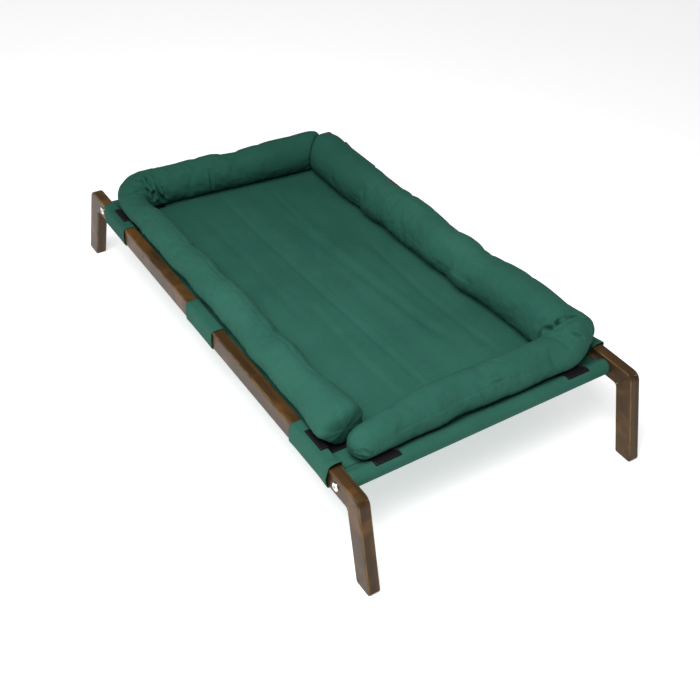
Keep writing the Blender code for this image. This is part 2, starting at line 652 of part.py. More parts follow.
def bolster_rings(side, route, lengths, ends, stray_table, girth_table, meet):
    """Rings of points round the route, pressed flat where they come to the seat and where the
    other bolster's end is."""
    rings = []
    knuckle, bulge = KNUCKLES[side]
    for distance, point, direction in route:
        outward = Vector((-direction.y, direction.x))
        place = place_on(distance, lengths)
        half_width = eased(girth_table, place)
        half_height = half_width * BOLSTER_RISE
        full = fullness(distance, sum(lengths), ends)
        pleat = (1 - math.cos((distance - lengths[0]) / BEND_STATION * math.pi)) / 2
        fold = WRINKLE * math.sin(math.pi * min(max(place - 1, 0), 1)) * pleat
        off_knuckle = min(abs(place - knuckle) / KNUCKLE_REACH, 1)
        outer_push = bulge * math.cos(math.pi / 2 * off_knuckle) ** 2
        to_bend = max(lengths[0] - distance, distance - lengths[0] - lengths[1], 0)
        stray = eased(stray_table, place)
        inner_room = BEND_RADIUS - FOLD_ROOM + to_bend + stray
        middle = point + outward * stray
        middle_z = seat_height(0, middle.y) + half_height * (1 - PRESSED)
        ring = []
        for step in range(AROUND):
            angle = 2 * math.pi * step / AROUND
            sideways = half_width * full * math.cos(angle)
            if sideways > 0:
                sideways += outer_push * math.cos(angle)
            else:
                sideways = max(sideways * (1 - fold), -inner_room)
            spot = meet(middle + outward * sideways, direction)
            z = middle_z + half_height * full * math.sin(angle)
            ring.append((spot.x, spot.y, max(z, seat_height(spot.x, spot.y))))
        rings.append(ring)
    return rings


def meeting(corner, side):
    """Keeps points on their side of the upright face where the head arm and right arm meet; side
    is 1 for the right bolster and -1 for the left one."""
    normal = Vector((math.sin(MEETING_ANGLE), math.cos(MEETING_ANGLE)))

    def keep(point, direction):
        past = BOLSTER_SPACE / 2 - side * (point - corner).dot(normal)
        near = (point - corner).length < 4 * MEETING_END[0]
        if past <= 0 or not near:
            return point
        return point + direction * past / abs(normal.dot(direction)) * side

    return keep


def bolster_mesh(name, rings, origin):
    """Joins the rings and closes each end round its gather."""
    bm = bmesh.new()
    loops = [[bm.verts.new(Vector(point) - origin) for point in ring] for ring in rings]
    for near, far in zip(loops, loops[1:]):
        for index in range(AROUND):
            following = (index + 1) % AROUND
            bm.faces.new((near[index], near[following], far[following], far[index]))
    for edge_loop, inner in ((loops[0], loops[1]), (loops[-1], loops[-2])):
        centre = sum((vert.co for vert in edge_loop), Vector()) / AROUND
        inward = (sum((vert.co for vert in inner), Vector()) / AROUND - centre).normalized()
        tuft = bm.verts.new(centre + inward * BOLSTER_GATHER)
        for index in range(AROUND):
            bm.faces.new((edge_loop[index], edge_loop[(index + 1) % AROUND], tuft))
    return mesh_from(bm, name, smooth_angle=60)


def soft_patch_mesh():
    bm = bmesh.new()
    bmesh.ops.create_cube(bm, size=1)
    bmesh.ops.scale(bm, verts=bm.verts, vec=(SOFT_PATCH_LENGTH, SOFT_PATCH_WIDTH, PATCH))
    return mesh_from(bm, "soft patch")


def build_bolster(side, tips, corner, ends, stray_table, girth_table, meet, canvas):
    """One bolster on an empty that stands on the line along which it lifts off."""
    name = f"bolster_{side}"
    route, lengths = bolster_route(tips[0], corner, tips[1], ends)
    rings = bolster_rings(side, route, lengths, ends, stray_table, girth_table, meet)
    origin = Vector((*corner, LONG_SEAT_Z))
    lift = empty(f"{name}_lift", origin)
    add(name, bolster_mesh(name, rings, origin), canvas, lift)
    return lift


def build_bolsters(canvas, loop_tape):
    left_y = LEFT_ARM_TO_RAIL - INNER_Y
    right_y = INNER_Y - RIGHT_ARM_TO_RAIL
    head_x = HEAD_ARM_TO_BAR - BAR_X
    foot_x = BAR_X - FOOT_ARM_TO_BAR
    foot_end_side = foot_x + RIGHT_STRAY[-1][1] - RIGHT_GIRTH[-1][1]
    left_tips = (
        Vector((foot_end_side - BOLSTER_SPACE, left_y)),
        Vector((head_x, INNER_Y - HEAD_END_TO_RAIL)),
    )
    right_tips = (
        Vector((RIGHT_END_TO_BAR - BAR_X, right_y)),
        Vector((foot_x, FOOT_END_TO_RAIL - INNER_Y)),
    )
    head_end_line = head_x - eased(LEFT_STRAY, 2.9)
    right_end_line = right_y + RIGHT_STRAY[0][1]
    inner_corner = Vector((head_end_line + LEFT_GIRTH[-1][1], right_end_line - RIGHT_GIRTH[0][1]))
    left = build_bolster(
        "left", left_tips, Vector((head_x, left_y)), (FREE_END, MEETING_END), LEFT_STRAY,
        LEFT_GIRTH, meeting(inner_corner, -1), canvas,
    )
    right = build_bolster(
        "right", right_tips, Vector((foot_x, right_y)), (MEETING_END, FREE_END), RIGHT_STRAY,
        RIGHT_GIRTH, meeting(inner_corner, 1), canvas,
    )

    def over_patch(line, half_width, inner, outer):
        """On the flat under an arm, and as far over the hook patch as that allows."""
        inset = SOFT_PATCH_INSET + SOFT_PATCH_WIDTH / 2
        flat = half_width * math.sqrt(1 - (1 - PRESSED) ** 2)
        nearest = min(max(abs(line), inner + inset), outer - inset)
        return min(nearest, abs(line) + flat - SOFT_PATCH_WIDTH / 2)

    soft_patch = soft_patch_mesh()
    side_span = (LOOP_INNER_Y, BANK_Y)
    end_span = (SEAM_X - END_PATCH_LENGTH, SEAM_X)
    side_x = {name: BAR_X - to_bar for name, to_bar in SIDE_PATCH_TO_BAR.items()}
    left_tip_x = left_tips[0].x - (FREE_END[0] + SOFT_PATCH_LENGTH) / 2
    head_tip_y = left_tips[1].y - (MEETING_END[0] + SOFT_PATCH_LENGTH) / 2
    at_left = -over_patch(left_y, LEFT_GIRTH[-3][1], *side_span)
    at_right = over_patch(right_end_line, RIGHT_GIRTH[0][1], *side_span)
    at_bend = over_patch(right_y, RIGHT_GIRTH[2][1], *side_span)
    at_head = -over_patch(head_end_line, LEFT_GIRTH[-2][1], *end_span)
    at_foot = over_patch(foot_x, RIGHT_GIRTH[-1][1], *end_span)
    for lift, place, x, y in (
        (left, "side_left_foot", left_tip_x, at_left),
        (left, "side_left_head", -side_x["left_head"], at_left),
        (left, "end_left_head", at_head, -END_PATCH_Y),
        (left, "end_right_head", at_head, head_tip_y),
        (right, "side_right_foot", side_x["right_foot"], at_bend),
        (right, "side_right_head", -side_x["right_head"], at_right),
        (right, "end_left_foot", at_foot, -END_PATCH_Y),
        (right, "end_right_foot", at_foot, END_PATCH_Y),
    ):
        on_side = place.startswith("side")
        seat = LONG_SEAT_Z if on_side else SHORT_SEAT_Z
        spot = Vector((x, y, seat - GAP - PATCH / 2)) - lift.location
        turn = (0, 0, 0 if on_side else math.pi / 2)
        add(f"soft_patch_{place}", soft_patch, loop_tape, lift, spot, turn)


def build_model():
    clear_scene()
    wood = finish("stained wood", (0.10, 0.045, 0.02), 0.45)
    bar_wood = finish("bare wood", (0.45, 0.30, 0.16), 0.6)
    nickel = finish("nickel", (0.75, 0.75, 0.75), 0.2, 1.0)
    zinc = finish("zinc", (0.6, 0.6, 0.58), 0.4, 1.0)
    canvas = finish("green canvas", (0.025, 0.12, 0.085), 0.85)
    hook_tape = finish("hook tape", (0.012, 0.012, 0.014), 0.7)
    loop_tape = finish("loop tape", (0.015, 0.015, 0.017), 0.95)
    build_side_frames(wood, bar_wood)
    build_crossbars(bar_wood, zinc, nickel)
    build_cloth(canvas, hook_tape)
    build_bolsters(canvas, loop_tape)


build_model()
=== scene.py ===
"""Raised pet bed: a cloth sling on two splayed-leg side frames, and two bolsters laid round it.

Metres, +Z up. X runs along the bed from the head end (-X) to the foot end (+X), the left side is -Y,
and the origin is on the floor under the middle of the bed.
"""

import math

import bmesh
import bpy
import numpy as np
from mathutils import Matrix, Vector, noise


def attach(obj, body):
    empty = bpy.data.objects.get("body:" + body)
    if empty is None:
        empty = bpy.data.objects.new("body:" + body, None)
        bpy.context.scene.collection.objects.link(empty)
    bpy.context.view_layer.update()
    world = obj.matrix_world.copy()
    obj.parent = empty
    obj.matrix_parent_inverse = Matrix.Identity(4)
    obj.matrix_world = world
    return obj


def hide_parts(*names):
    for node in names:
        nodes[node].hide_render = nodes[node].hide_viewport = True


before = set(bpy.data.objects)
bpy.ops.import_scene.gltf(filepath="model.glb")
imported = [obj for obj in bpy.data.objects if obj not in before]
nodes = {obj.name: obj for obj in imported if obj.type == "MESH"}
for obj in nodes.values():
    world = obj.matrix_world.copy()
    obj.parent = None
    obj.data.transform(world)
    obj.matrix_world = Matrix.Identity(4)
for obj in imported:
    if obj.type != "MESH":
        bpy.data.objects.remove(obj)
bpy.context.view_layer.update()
studio = bpy.context.scene


# Camera. It stands off the foot end's left corner and looks down over the whole bed, with a short
# telephoto lens and a few degrees of roll.

CAMERA_PLACE = Vector((1.27482, -0.89168, 1.26368))
CAMERA_AZIMUTH = math.radians(53.92)
CAMERA_ELEVATION = math.radians(39.53)
CAMERA_ROLL = math.radians(4.168)
CAMERA_LENS = 51.40
CAMERA_SENSOR = 36.0

camera = bpy.data.objects.new("camera", bpy.data.cameras.new("camera"))
camera.data.lens = CAMERA_LENS
camera.data.sensor_width = CAMERA_SENSOR
camera.matrix_world = (
    Matrix.Translation(CAMERA_PLACE) @ Matrix.Rotation(CAMERA_AZIMUTH, 4, "Z")
    @ Matrix.Rotation(math.pi / 2 - CAMERA_ELEVATION, 4, "X") @ Matrix.Rotation(CAMERA_ROLL, 4, "Z")
)
studio.collection.objects.link(camera)
studio.camera = camera


# Side frames. Each is a long rail and two splayed legs sawn from 22 mm hardwood board, rounded over,
# glued in doweled mitres, stained walnut and given a satin varnish. Their shapes are the CAD's.

BED_WIDTH = 0.585
KNEE_X = 0.500
RAIL_TOP = 0.167
BOARD_DEPTH = 0.036
BOARD_THICKNESS = 0.022
LEG_SPLAY = math.radians(16.7)
RAIL_Y = (BED_WIDTH - BOARD_THICKNESS) / 2
INNER_Y = BED_WIDTH / 2 - BOARD_THICKNESS
SIDES = {"left": -1, "right": 1}
ENDS = {"head": -1, "foot": 1}

STAIN_DEEP = (0.022, 0.012, 0.005)
STAIN_WARM = (0.088, 0.045, 0.015)
STAIN_WORN = (0.24, 0.135, 0.055)
STAIN_PATCH = (0.165, 0.075, 0.018)
STAIN_PORE = (0.012, 0.006, 0.004)


class Shade:
    """A socket in a node tree. An expression on it adds Math nodes, and node() any other node."""

    def __init__(self, tree, socket=None):
        self.tree = tree
        self.socket = socket

    def node(self, kind, settings=(), inputs=(), output=0):
        """Adds a node: its settings first, then the values or links of its sockets."""
        node = self.tree.nodes.new(kind)
        for name, value in dict(settings).items():
            setattr(node, name, value)
        for name, value in dict(inputs).items():
            if isinstance(value, Shade):
                self.tree.links.new(value.socket, node.inputs[name])
            else:
                node.inputs[name].default_value = value
        return Shade(self.tree, node.outputs[output])

    def maths(self, operation, *values):
        return self.node("ShaderNodeMath", {"operation": operation}, enumerate(values))

    def __add__(self, other):
        return self.maths("ADD", self, other)

    def __sub__(self, other):
        return self.maths("SUBTRACT", self, other)

    def __rsub__(self, other):
        return self.maths("SUBTRACT", other, self)

    def __mul__(self, other):
        return self.maths("MULTIPLY", self, other)

    def __truediv__(self, other):
        return self.maths("DIVIDE", self, other)

    def __rtruediv__(self, other):
        return self.maths("DIVIDE", other, self)

    def __abs__(self):
        return self.maths("ABSOLUTE", self)

    __radd__ = __add__
    __rmul__ = __mul__

    def rising(self, low, high):
        """From 0 at low to 1 at high, softly."""
        return self.node("ShaderNodeMapRange", {"interpolation_type": "SMOOTHSTEP"}, {
            "Value": self, "From Min": low, "From Max": high,
        })

    def between(self, first, second):
        """From one colour to another as this mask goes from 0 to 1."""
        first, second = (
            colour if isinstance(colour, Shade) else (*colour, 1.0) for colour in (first, second)
        )
        return self.node("ShaderNodeMix", {"data_type": "RGBA"}, {0: self, 6: first, 7: second}, 2)

    def stretched(self, scale):
        return self.node("ShaderNodeVectorMath", {"operation": "MULTIPLY"}, {0: self, 1: scale})

    def noise(self, scale, detail=2.0, roughness=0.5, distortion=0.0):
        return self.node("ShaderNodeTexNoise", {}, {
            "Vector": self, "Scale": scale, "Detail": detail, "Roughness": roughness,
            "Distortion": distortion,
        })

    def parts(self):
        """The X, Y and Z of this vector."""
        split = self.node("ShaderNodeSeparateXYZ", {}, {"Vector": self})
        return [Shade(self.tree, output) for output in split.socket.node.outputs]

    def bump(self, strength, distance):
        return self.node("ShaderNodeBump", {}, {
            "Height": self, "Strength": strength, "Distance": distance,
        })

    def place(self):
        """Object coordinates, the same as the bed's own."""
        return self.node("ShaderNodeTexCoord", output="Object")

    def cloth(self):
        """The sheet's own UV map, in metres."""
        return self.node("ShaderNodeUVMap", {"uv_map": "cloth"})


def new_finish(name, constants):
    """A new material, with what is the same all over it set on the shader's own sockets."""
    material = bpy.data.materials.new(name)
    material.use_nodes = True
    shader = material.node_tree.nodes["Principled BSDF"]
    for socket, value in constants.items():
        shader.inputs[socket].default_value = value
    return material, Shade(material.node_tree)


def finished(material, shades):
    """The material, once what changes over the surface is joined to its shader."""
    shader = material.node_tree.nodes["Principled BSDF"]
    for socket, shade in shades.items():
        material.node_tree.links.new(shade.socket, shader.inputs[socket])
    return material


def stained_wood(name, turn, board_middle):
    """Walnut stain and satin varnish, with the grain along a board turned about Y, whose middle
    line then lies at a height."""
    material, start = new_finish(name, {"Coat Roughness": 0.26, "Specular IOR Level": 0.14})
    place = start.place()
    board = start.node("ShaderNodeMapping", {}, {
        "Vector": place, "Rotation": (0, turn, 0), "Location": (0, 0, -board_middle),
    })
    _, side, across = board.parts()
    streaks = board.stretched((5.0, 95.0, 95.0)).noise(1.0, 4.0, 0.62, 0.35)
    broad = board.stretched((2.2, 26.0, 26.0)).noise(1.0, 2.0, 0.5, 0.6)
    rings = (across * 62.0 + side * 35.0 + broad * 4.2).maths("SINE") * 0.5 + 0.5
    pores = board.stretched((55.0, 1500.0, 1500.0)).noise(1.0, 2.0, 0.6)
    pits = pores.rising(0.60, 0.72)
    to_side = abs(abs(side) - RAIL_Y) / (BOARD_THICKNESS / 2)
    to_edge = abs(across) / (BOARD_DEPTH / 2)
    rubbed = place.noise(38.0, 3.0, 0.6)
    edge = to_side.rising(0.70, 0.98) * to_edge.rising(0.84, 0.99)
    worn = edge * rubbed.rising(0.30, 0.62)
    specks = place.noise(210.0, 2.0, 0.5).rising(0.70, 0.80)
    patchy = place.noise(16.0, 2.0, 0.5, 0.4).rising(0.50, 0.72)
    tone = streaks.rising(0.25, 0.78) * 0.65 + rings * 0.25 + broad * 0.12
    colour = tone.between(STAIN_DEEP, STAIN_WARM)
    colour = (patchy * 0.55).between(colour, STAIN_PATCH)
    colour = (pits * 0.55).between(colour, STAIN_PORE)
    colour = (worn * 0.85 + specks * 0.22).between(colour, STAIN_WORN)
    relief = streaks * 0.5 - pits * 0.8
    return finished(material, {
        "Base Color": colour,
        "Roughness": 0.33 + pits * 0.25 + streaks * 0.12 - edge * 0.06,
        "Coat Weight": 0.10 - worn * 0.05,
        "Normal": relief.bump(0.35, 0.0003),
    })


def wear_finish(node, material):
    for slot in node.material_slots:
        slot.material = material


rail_wood = stained_wood("walnut stain on the rails", 0.0, RAIL_TOP - BOARD_DEPTH / 2)
leg_middle = KNEE_X * math.cos(LEG_SPLAY) + RAIL_TOP * math.sin(LEG_SPLAY) - BOARD_DEPTH / 2
for end, way in ENDS.items():
    lean = way * LEG_SPLAY - math.pi / 2
    leg_wood = stained_wood(f"walnut stain on the {end} legs", lean, way * leg_middle)
    for side in SIDES:
        wear_finish(nodes[f"leg_{side}_{end}"], leg_wood)
for side in SIDES:
    wear_finish(nodes[f"rail_{side}"], rail_wood)


# Dowels and cross bars. Plain beech: eight dowels lie inside the glued knees, and two turned bars
# run through the sling's sleeves, with a zinc threaded insert in each end.

BAR_X = 0.4417
BAR_Z = 0.1495
CROSSBAR_RADIUS = 0.0125


def bare_wood(name, grain):
    """Sanded beech with short flecks; grain is its stretch along each axis."""
    material, start = new_finish(name, {})
    place = start.place()
    fibres = place.stretched(grain).noise(1.0, 3.0, 0.6)
    flecks = place.stretched(tuple(6 * share for share in grain)).noise(1.0, 1.0, 0.5)
    colour = fibres.rising(0.3, 0.7).between((0.36, 0.22, 0.12), (0.52, 0.36, 0.21))
    colour = (flecks.rising(0.62, 0.75) * 0.5).between(colour, (0.22, 0.12, 0.06))
    return finished(material, {
        "Base Color": colour,
        "Roughness": 0.6 + fibres * 0.2,
        "Normal": fibres.bump(0.3, 0.0002),
    })


def speckled(name, constants, grain, colours, roughness):
    """A finish whose colour and roughness both follow one fine noise."""
    material, start = new_finish(name, constants)
    specks = start.place().noise(*grain)
    smoothest, spread = roughness
    return finished(material, {
        "Base Color": specks.between(*colours), "Roughness": smoothest + specks * spread,
    })


bar_wood = bare_wood("beech across the bed", (160.0, 12.0, 160.0))
pin_wood = bare_wood("beech dowel", (90.0, 300.0, 90.0))
zinc = speckled(
    "zinc plate", {"Metallic": 1.0}, (900.0, 3.0, 0.6),
    ((0.42, 0.42, 0.40), (0.68, 0.67, 0.63)), (0.32, 0.25),
)
for end in ENDS:
    wear_finish(nodes[f"crossbar_{end}"], bar_wood)
    for side in SIDES:
        wear_finish(nodes[f"insert_nut_{side}_{end}"], zinc)
        for place in ("lower", "upper"):
            wear_finish(nodes[f"dowel_{side}_{end}_{place}"], pin_wood)


# Screws. Four bright button-head machine screws with a hexagon socket, driven through the rails
# into the bars' inserts. One Geometry Nodes tree makes the screw and sets it at each place.

SCREW_HEAD_RADIUS = 0.00775
SCREW_HEAD_HEIGHT = 0.0026
SCREW_SHANK_RADIUS = 0.0029
SCREW_REACH = 0.0395
# the head's steps: each one's share of the height, and how far its top narrows
SCREW_CROWN = ((0.42, 1.0), (0.26, 0.955), (0.17, 0.86), (0.10, 0.70), (0.05, 0.62))
SCREW_GAP = 0.0002
SOCKET_SIZE = 0.0024
SOCKET_DEPTH = 0.0019


def piece(name, mesh):
    obj = bpy.data.objects.new(name, mesh)
    studio.collection.objects.link(obj)
    return obj


def new_tree(name, sizes):
    """A Geometry Nodes tree with an input for the geometry and one named input for each size."""
    tree = bpy.data.node_groups.new(name, "GeometryNodeTree")
    tree.interface.new_socket("Geometry", in_out="INPUT", socket_type="NodeSocketGeometry")
    tree.interface.new_socket("Geometry", in_out="OUTPUT", socket_type="NodeSocketGeometry")
    for size in sizes:
        tree.interface.new_socket(size, in_out="INPUT", socket_type="NodeSocketFloat")
    start = Shade(tree)
    inputs = start.node("NodeGroupInput").socket.node
    return tree, start, {item.name: Shade(tree, item) for item in inputs.outputs if item.name}


def close_tree(result, material):
    """Realizes the instances, gives them their material and hands them out."""
    real = result.node("GeometryNodeRealizeInstances", {}, {"Geometry": result})
    painted = result.node("GeometryNodeSetMaterial", {}, {"Geometry": real, "Material": material})
    out = result.tree.nodes.new("NodeGroupOutput")
    result.tree.links.new(painted.socket, out.inputs[0])


def keep_result(obj, modifier):
    """Makes what a modifier gives the piece's own mesh."""
    result = obj.evaluated_get(bpy.context.evaluated_depsgraph_get())
    mesh = bpy.data.meshes.new_from_object(result)
    obj.modifiers.remove(modifier)
    obj.data = mesh


def grown(name, source, tree, sizes):
    """What a tree makes of a source mesh, as a plain mesh piece."""
    obj = piece(name, source)
    modifier = obj.modifiers.new(tree.name, "NODES")
    modifier.node_group = tree
    for item in tree.interface.items_tree:
        if item.in_out == "INPUT" and item.name in sizes:
            modifier[item.identifier] = sizes[item.name]
    keep_result(obj, modifier)
    obj.data.name = name
    return obj


def shifted(geometry, height):
    """Geometry moved along its own Z by a size."""
    shift = geometry.node("ShaderNodeCombineXYZ", {}, {"Z": height})
    return geometry.node("GeometryNodeTransform", {}, {"Geometry": geometry, "Translation": shift})


def screw_tree(material):
    tree, start, size = new_tree(
        "button-head screw",
        ("Head radius", "Head height", "Shank radius", "Reach", "Socket size", "Socket depth"),
    )
    disc = start.node("GeometryNodeMeshCircle", {"fill_type": "NGON"}, {
        "Vertices": 32, "Radius": size["Head radius"],
    })
    head, top = disc, None
    for rise, narrowing in SCREW_CROWN:
        extrusion = start.node("GeometryNodeExtrudeMesh", {"mode": "FACES"}, {
            "Mesh": head, "Offset Scale": size["Head height"] * rise, "Individual": False,
        }).socket.node
        if top is not None:
            tree.links.new(top.socket, extrusion.inputs["Selection"])
        top = Shade(tree, extrusion.outputs["Top"])
        head = start.node("GeometryNodeScaleElements", {}, {
            "Geometry": Shade(tree, extrusion.outputs["Mesh"]), "Selection": top,
            "Scale": narrowing,
        })
    key = start.node("GeometryNodeMeshCylinder", {}, {
        "Vertices": 6, "Radius": size["Socket size"], "Depth": size["Socket depth"] * 2.0,
    })
    socketed = start.node("GeometryNodeMeshBoolean", {"operation": "DIFFERENCE"}, {
        "Mesh 1": head, "Mesh 2": shifted(key, size["Head height"]),
    })
    shank = start.node("GeometryNodeMeshCylinder", {}, {
        "Vertices": 16, "Radius": size["Shank radius"], "Depth": size["Reach"],
    })
    joined = tree.nodes.new("GeometryNodeJoinGeometry")
    for part in (shifted(shank, size["Reach"] * -0.5), socketed):
        tree.links.new(part.socket, joined.inputs[0])
    outward = start.node("GeometryNodeInputNamedAttribute", {"data_type": "FLOAT_VECTOR"}, {
        "Name": "outward",
    })
    facing = start.node("FunctionNodeAlignRotationToVector", {"axis": "Z"}, {"Vector": outward})
    screws = start.node("GeometryNodeInstanceOnPoints", {}, {
        "Points": size["Geometry"], "Instance": Shade(tree, joined.outputs[0]),
        "Rotation": facing,
    })
    close_tree(screws, material)
    return tree


def screw_places():
    """A point on the rail's outer face for each screw, with the way it faces."""
    mesh = bpy.data.meshes.new("screw places")
    faces = [(way, out) for way in ENDS.values() for out in SIDES.values()]
    places = [(way * BAR_X, out * (BED_WIDTH / 2 + SCREW_GAP), BAR_Z) for way, out in faces]
    mesh.from_pydata(places, [], [])
    outward = mesh.attributes.new("outward", "FLOAT_VECTOR", "POINT")
    outward.data.foreach_set("vector", [part for _, out in faces for part in (0, out, 0)])
    return mesh


bright = speckled(
    "bright nickel plate", {"Metallic": 1.0}, (1400.0, 2.0, 0.5),
    ((0.60, 0.60, 0.59), (0.80, 0.80, 0.79)), (0.12, 0.12),
)
screws = grown("screws", screw_places(), screw_tree(bright), {
    "Head radius": SCREW_HEAD_RADIUS, "Head height": SCREW_HEAD_HEIGHT,
    "Shank radius": SCREW_SHANK_RADIUS, "Reach": SCREW_REACH,
    "Socket size": SOCKET_SIZE, "Socket depth": SOCKET_DEPTH,
})
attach(screws, "bed")
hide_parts(*(f"bolt_{side}_{end}" for side in SIDES for end in ENDS))


# Sling. One length of green canvas stretched from bar to bar. Each short end goes over its bar and
# back under the bed as a stitched sleeve. The flat size allows for a narrow hem on the long edges.

CLOTH = 0.0012
GAP = 0.0003
SEAM_X = BAR_X - 0.022
SLEEVE_HEM = 0.018
SLEEVE_RADIUS = CROSSBAR_RADIUS + GAP + CLOTH / 2
SLEEVE_Y = INNER_Y - 0.001
PANEL_Z = BAR_Z + (CLOTH + GAP) / 2
HEM_Z = BAR_Z - (CLOTH + GAP) / 2
PANEL_Y = INNER_Y - 0.0060
PANEL_SAG = 0.005
LOOP_INNER_Y = PANEL_Y - 0.0390
BED_WAVE = 0.0007
CORNER_PULL = 0.0009
PULLED_CORNER = (-0.40, 0.19)
WAVE_LENGTHS = (0.088, 0.061, 0.043)
CLOTH_STEP = 0.0052
NEARLY_STRAIGHT = math.radians(89.4)
# the creases left from folding the cloth: a line in X and Y, its depth and its half width
FOLD_LINES = (
    (
        ((-0.415, -0.054), (-0.28, -0.052), (0.0, -0.045), (0.19, -0.038), (0.34, -0.034)),
        0.0034, 0.0042,
    ),
    (((-0.26, 0.030), (-0.11, 0.042), (0.12, 0.061), (0.25, 0.076)), 0.0030, 0.011),
    (((-0.40, 0.055), (-0.30, 0.050), (-0.15, 0.047)), 0.0020, 0.005),
    (((-0.34, -0.125), (-0.12, -0.118), (0.10, -0.122)), 0.0018, 0.008),
    (((-0.10, 0.128), (0.12, 0.120), (0.33, 0.132)), 0.0019, 0.007),
    (((0.02, -0.085), (0.20, -0.092), (0.37, -0.088)), 0.0019, 0.007),
)

CANVAS_DEEP = (0.016, 0.083, 0.059)
CANVAS_LIT = (0.032, 0.134, 0.097)
THREAD_PITCH = 0.00062


def green_canvas(name):
    """Plain-woven green canvas; the weave follows the cloth's own UV map, which is in metres."""
    material, start = new_finish(name, {
        "Sheen Weight": 0.02, "Sheen Roughness": 0.5, "Sheen Tint": (0.35, 0.85, 0.70, 1.0),
        "Specular IOR Level": 0.12,
    })
    cloth = start.cloth()
    place = start.place()
    across, along, _ = cloth.parts()
    warp = (across * (math.pi / THREAD_PITCH)).maths("SINE")
    weft = (along * (math.pi / THREAD_PITCH)).maths("SINE")
    weave = warp * weft * 0.5 + 0.5
    warp_slubs = cloth.stretched((900.0, 30.0, 1.0)).noise(1.0, 2.0, 0.6)
    weft_slubs = cloth.stretched((30.0, 900.0, 1.0)).noise(1.0, 2.0, 0.6)
    slubs = (warp_slubs + weft_slubs) * 0.5
    fading = place.noise(7.0, 3.0, 0.55)
    along_bed, _, _ = place.parts()
    # painted shade: the canvas colour is made darker towards the head end (-X), where less light falls
    painted_shade_to_head = along_bed.rising(-0.45, 0.15) * 0.22 - 0.26
    tone = fading * 0.45 + slubs * 0.55 + weave * 0.16 + painted_shade_to_head
    return finished(material, {
        "Base Color": tone.rising(0.22, 0.80).between(CANVAS_DEEP, CANVAS_LIT),
        "Roughness": 0.78 + slubs * 0.16,
        "Normal": (weave * 0.6 + slubs * 0.5).bump(0.30, 0.00035),
    })


def rounded(corners, steps=5):
    """Points along an open path whose (a, b, radius) corners are rounded by short flats."""
    points = [Vector(corners[0][:2])]
    for last, (*corner, radius), following in zip(corners, corners[1:], corners[2:]):
        corner = Vector(corner)
        before = (Vector(last[:2]) - corner).normalized()
        after = (Vector(following[:2]) - corner).normalized()
        half = before.angle(after) / 2
        if half > NEARLY_STRAIGHT:
            points.append(corner)
            continue
        centre = corner + (before + after).normalized() * radius / math.sin(half)
        start = corner + before * radius / math.tan(half) - centre
        sweep = start.angle_signed(corner + after * radius / math.tan(half) - centre)
        for step in range(steps + 1):
            angle = -sweep * step / steps
            points.append(centre + Vector((
                start.x * math.cos(angle) - start.y * math.sin(angle),
                start.x * math.sin(angle) + start.y * math.cos(angle),
            )))
    points.append(Vector(corners[-1][:2]))
    return points


def lengths_along(points):
    """How far along a path each of its points lies."""
    points = np.asarray(points, float)
    steps = np.linalg.norm(np.diff(points, axis=0), axis=1)
    return np.concatenate(([0.0], np.cumsum(steps)))


def spread_evenly(points, count):
    """The same path through evenly spaced points."""
    points = np.asarray(points, float)
    lengths = lengths_along(points)
    wanted = np.linspace(0, lengths[-1], count)
    return np.stack([np.interp(wanted, lengths, axis) for axis in points.T], axis=1)


def raised(path, distance):
    """The same open path, moved sideways to its left."""
    path = np.asarray(path, float)
    along = np.gradient(path, axis=0)
    along /= np.linalg.norm(along, axis=1)[:, None]
    return path + distance * np.stack((-along[:, 1], along[:, 0]), axis=1)


def cloth_mesh(name, rows, material):
    """A sheet through rows of points, with a UV map in metres."""
    rows = np.asarray(rows, float)
    count, width = rows.shape[:2]
    number = np.arange(count * width).reshape(count, width)
    corners = (number[:-1, :-1], number[:-1, 1:], number[1:, 1:], number[1:, :-1])
    faces = np.stack(corners, axis=-1).reshape(-1, 4)
    mesh = bpy.data.meshes.new(name)
    mesh.from_pydata(rows.reshape(-1, 3).tolist(), [], faces.tolist())
    across = np.stack([lengths_along(row) for row in rows])
    along = np.stack([lengths_along(column) for column in rows.swapaxes(0, 1)], axis=1)
    places = np.stack((across, along), axis=-1).reshape(-1, 2)[faces.ravel()]
    layer = mesh.uv_layers.new(name="cloth")
    layer.uv.foreach_set("vector", places.astype(np.float32).ravel())
    mesh.shade_smooth()
    mesh.materials.append(material)
    return mesh


def thicken(obj, thickness):
    wall = obj.modifiers.new("cloth thickness", "SOLIDIFY")
    wall.thickness = thickness
    wall.offset = 0
    wall.use_even_offset = True


def soft_step(value, low, high):
    share = np.clip((value - low) / (high - low), 0, 1)
    return share * share * (3 - 2 * share)


def bed_height(x, y):
    """The bed surface: a shallow sag, fold lines, slight waves and pulls from one corner."""
    x, y = np.asarray(x, float), np.asarray(y, float)
    reach_x = 1 - np.clip(np.abs(x) / (SEAM_X - SLEEVE_HEM), 0, 1) ** 4
    reach_y = 1 - np.clip(np.abs(y) / (LOOP_INNER_Y - GAP), 0, 1) ** 4
    reach = reach_x * reach_y
    z = PANEL_Z - reach * PANEL_SAG
    for line, depth, half_width in FOLD_LINES:
        along, across = np.transpose(line)
        begin = soft_step(x, along[0], along[0] + 0.04)
        ends = begin * soft_step(-x, -along[-1], 0.05 - along[-1])
        off = (y - np.interp(x, along, across)) / half_width
        z = z - reach * depth * ends * (np.exp(-off ** 2) - 0.45 * np.exp(-(off - 1.6) ** 2))
    wide, narrow, pulled = (2 * math.pi / length for length in WAVE_LENGTHS)
    waves = np.sin(wide * y + x * 2.1) + np.sin(narrow * y - x * 1.4)
    by_corner = soft_step(np.hypot(x - PULLED_CORNER[0], y - PULLED_CORNER[1]), 0.20, 0.06)
    pulls = np.sin((x + 0.6 * y) * pulled) * by_corner
    return z - reach * (BED_WAVE * waves + CORNER_PULL * pulls)


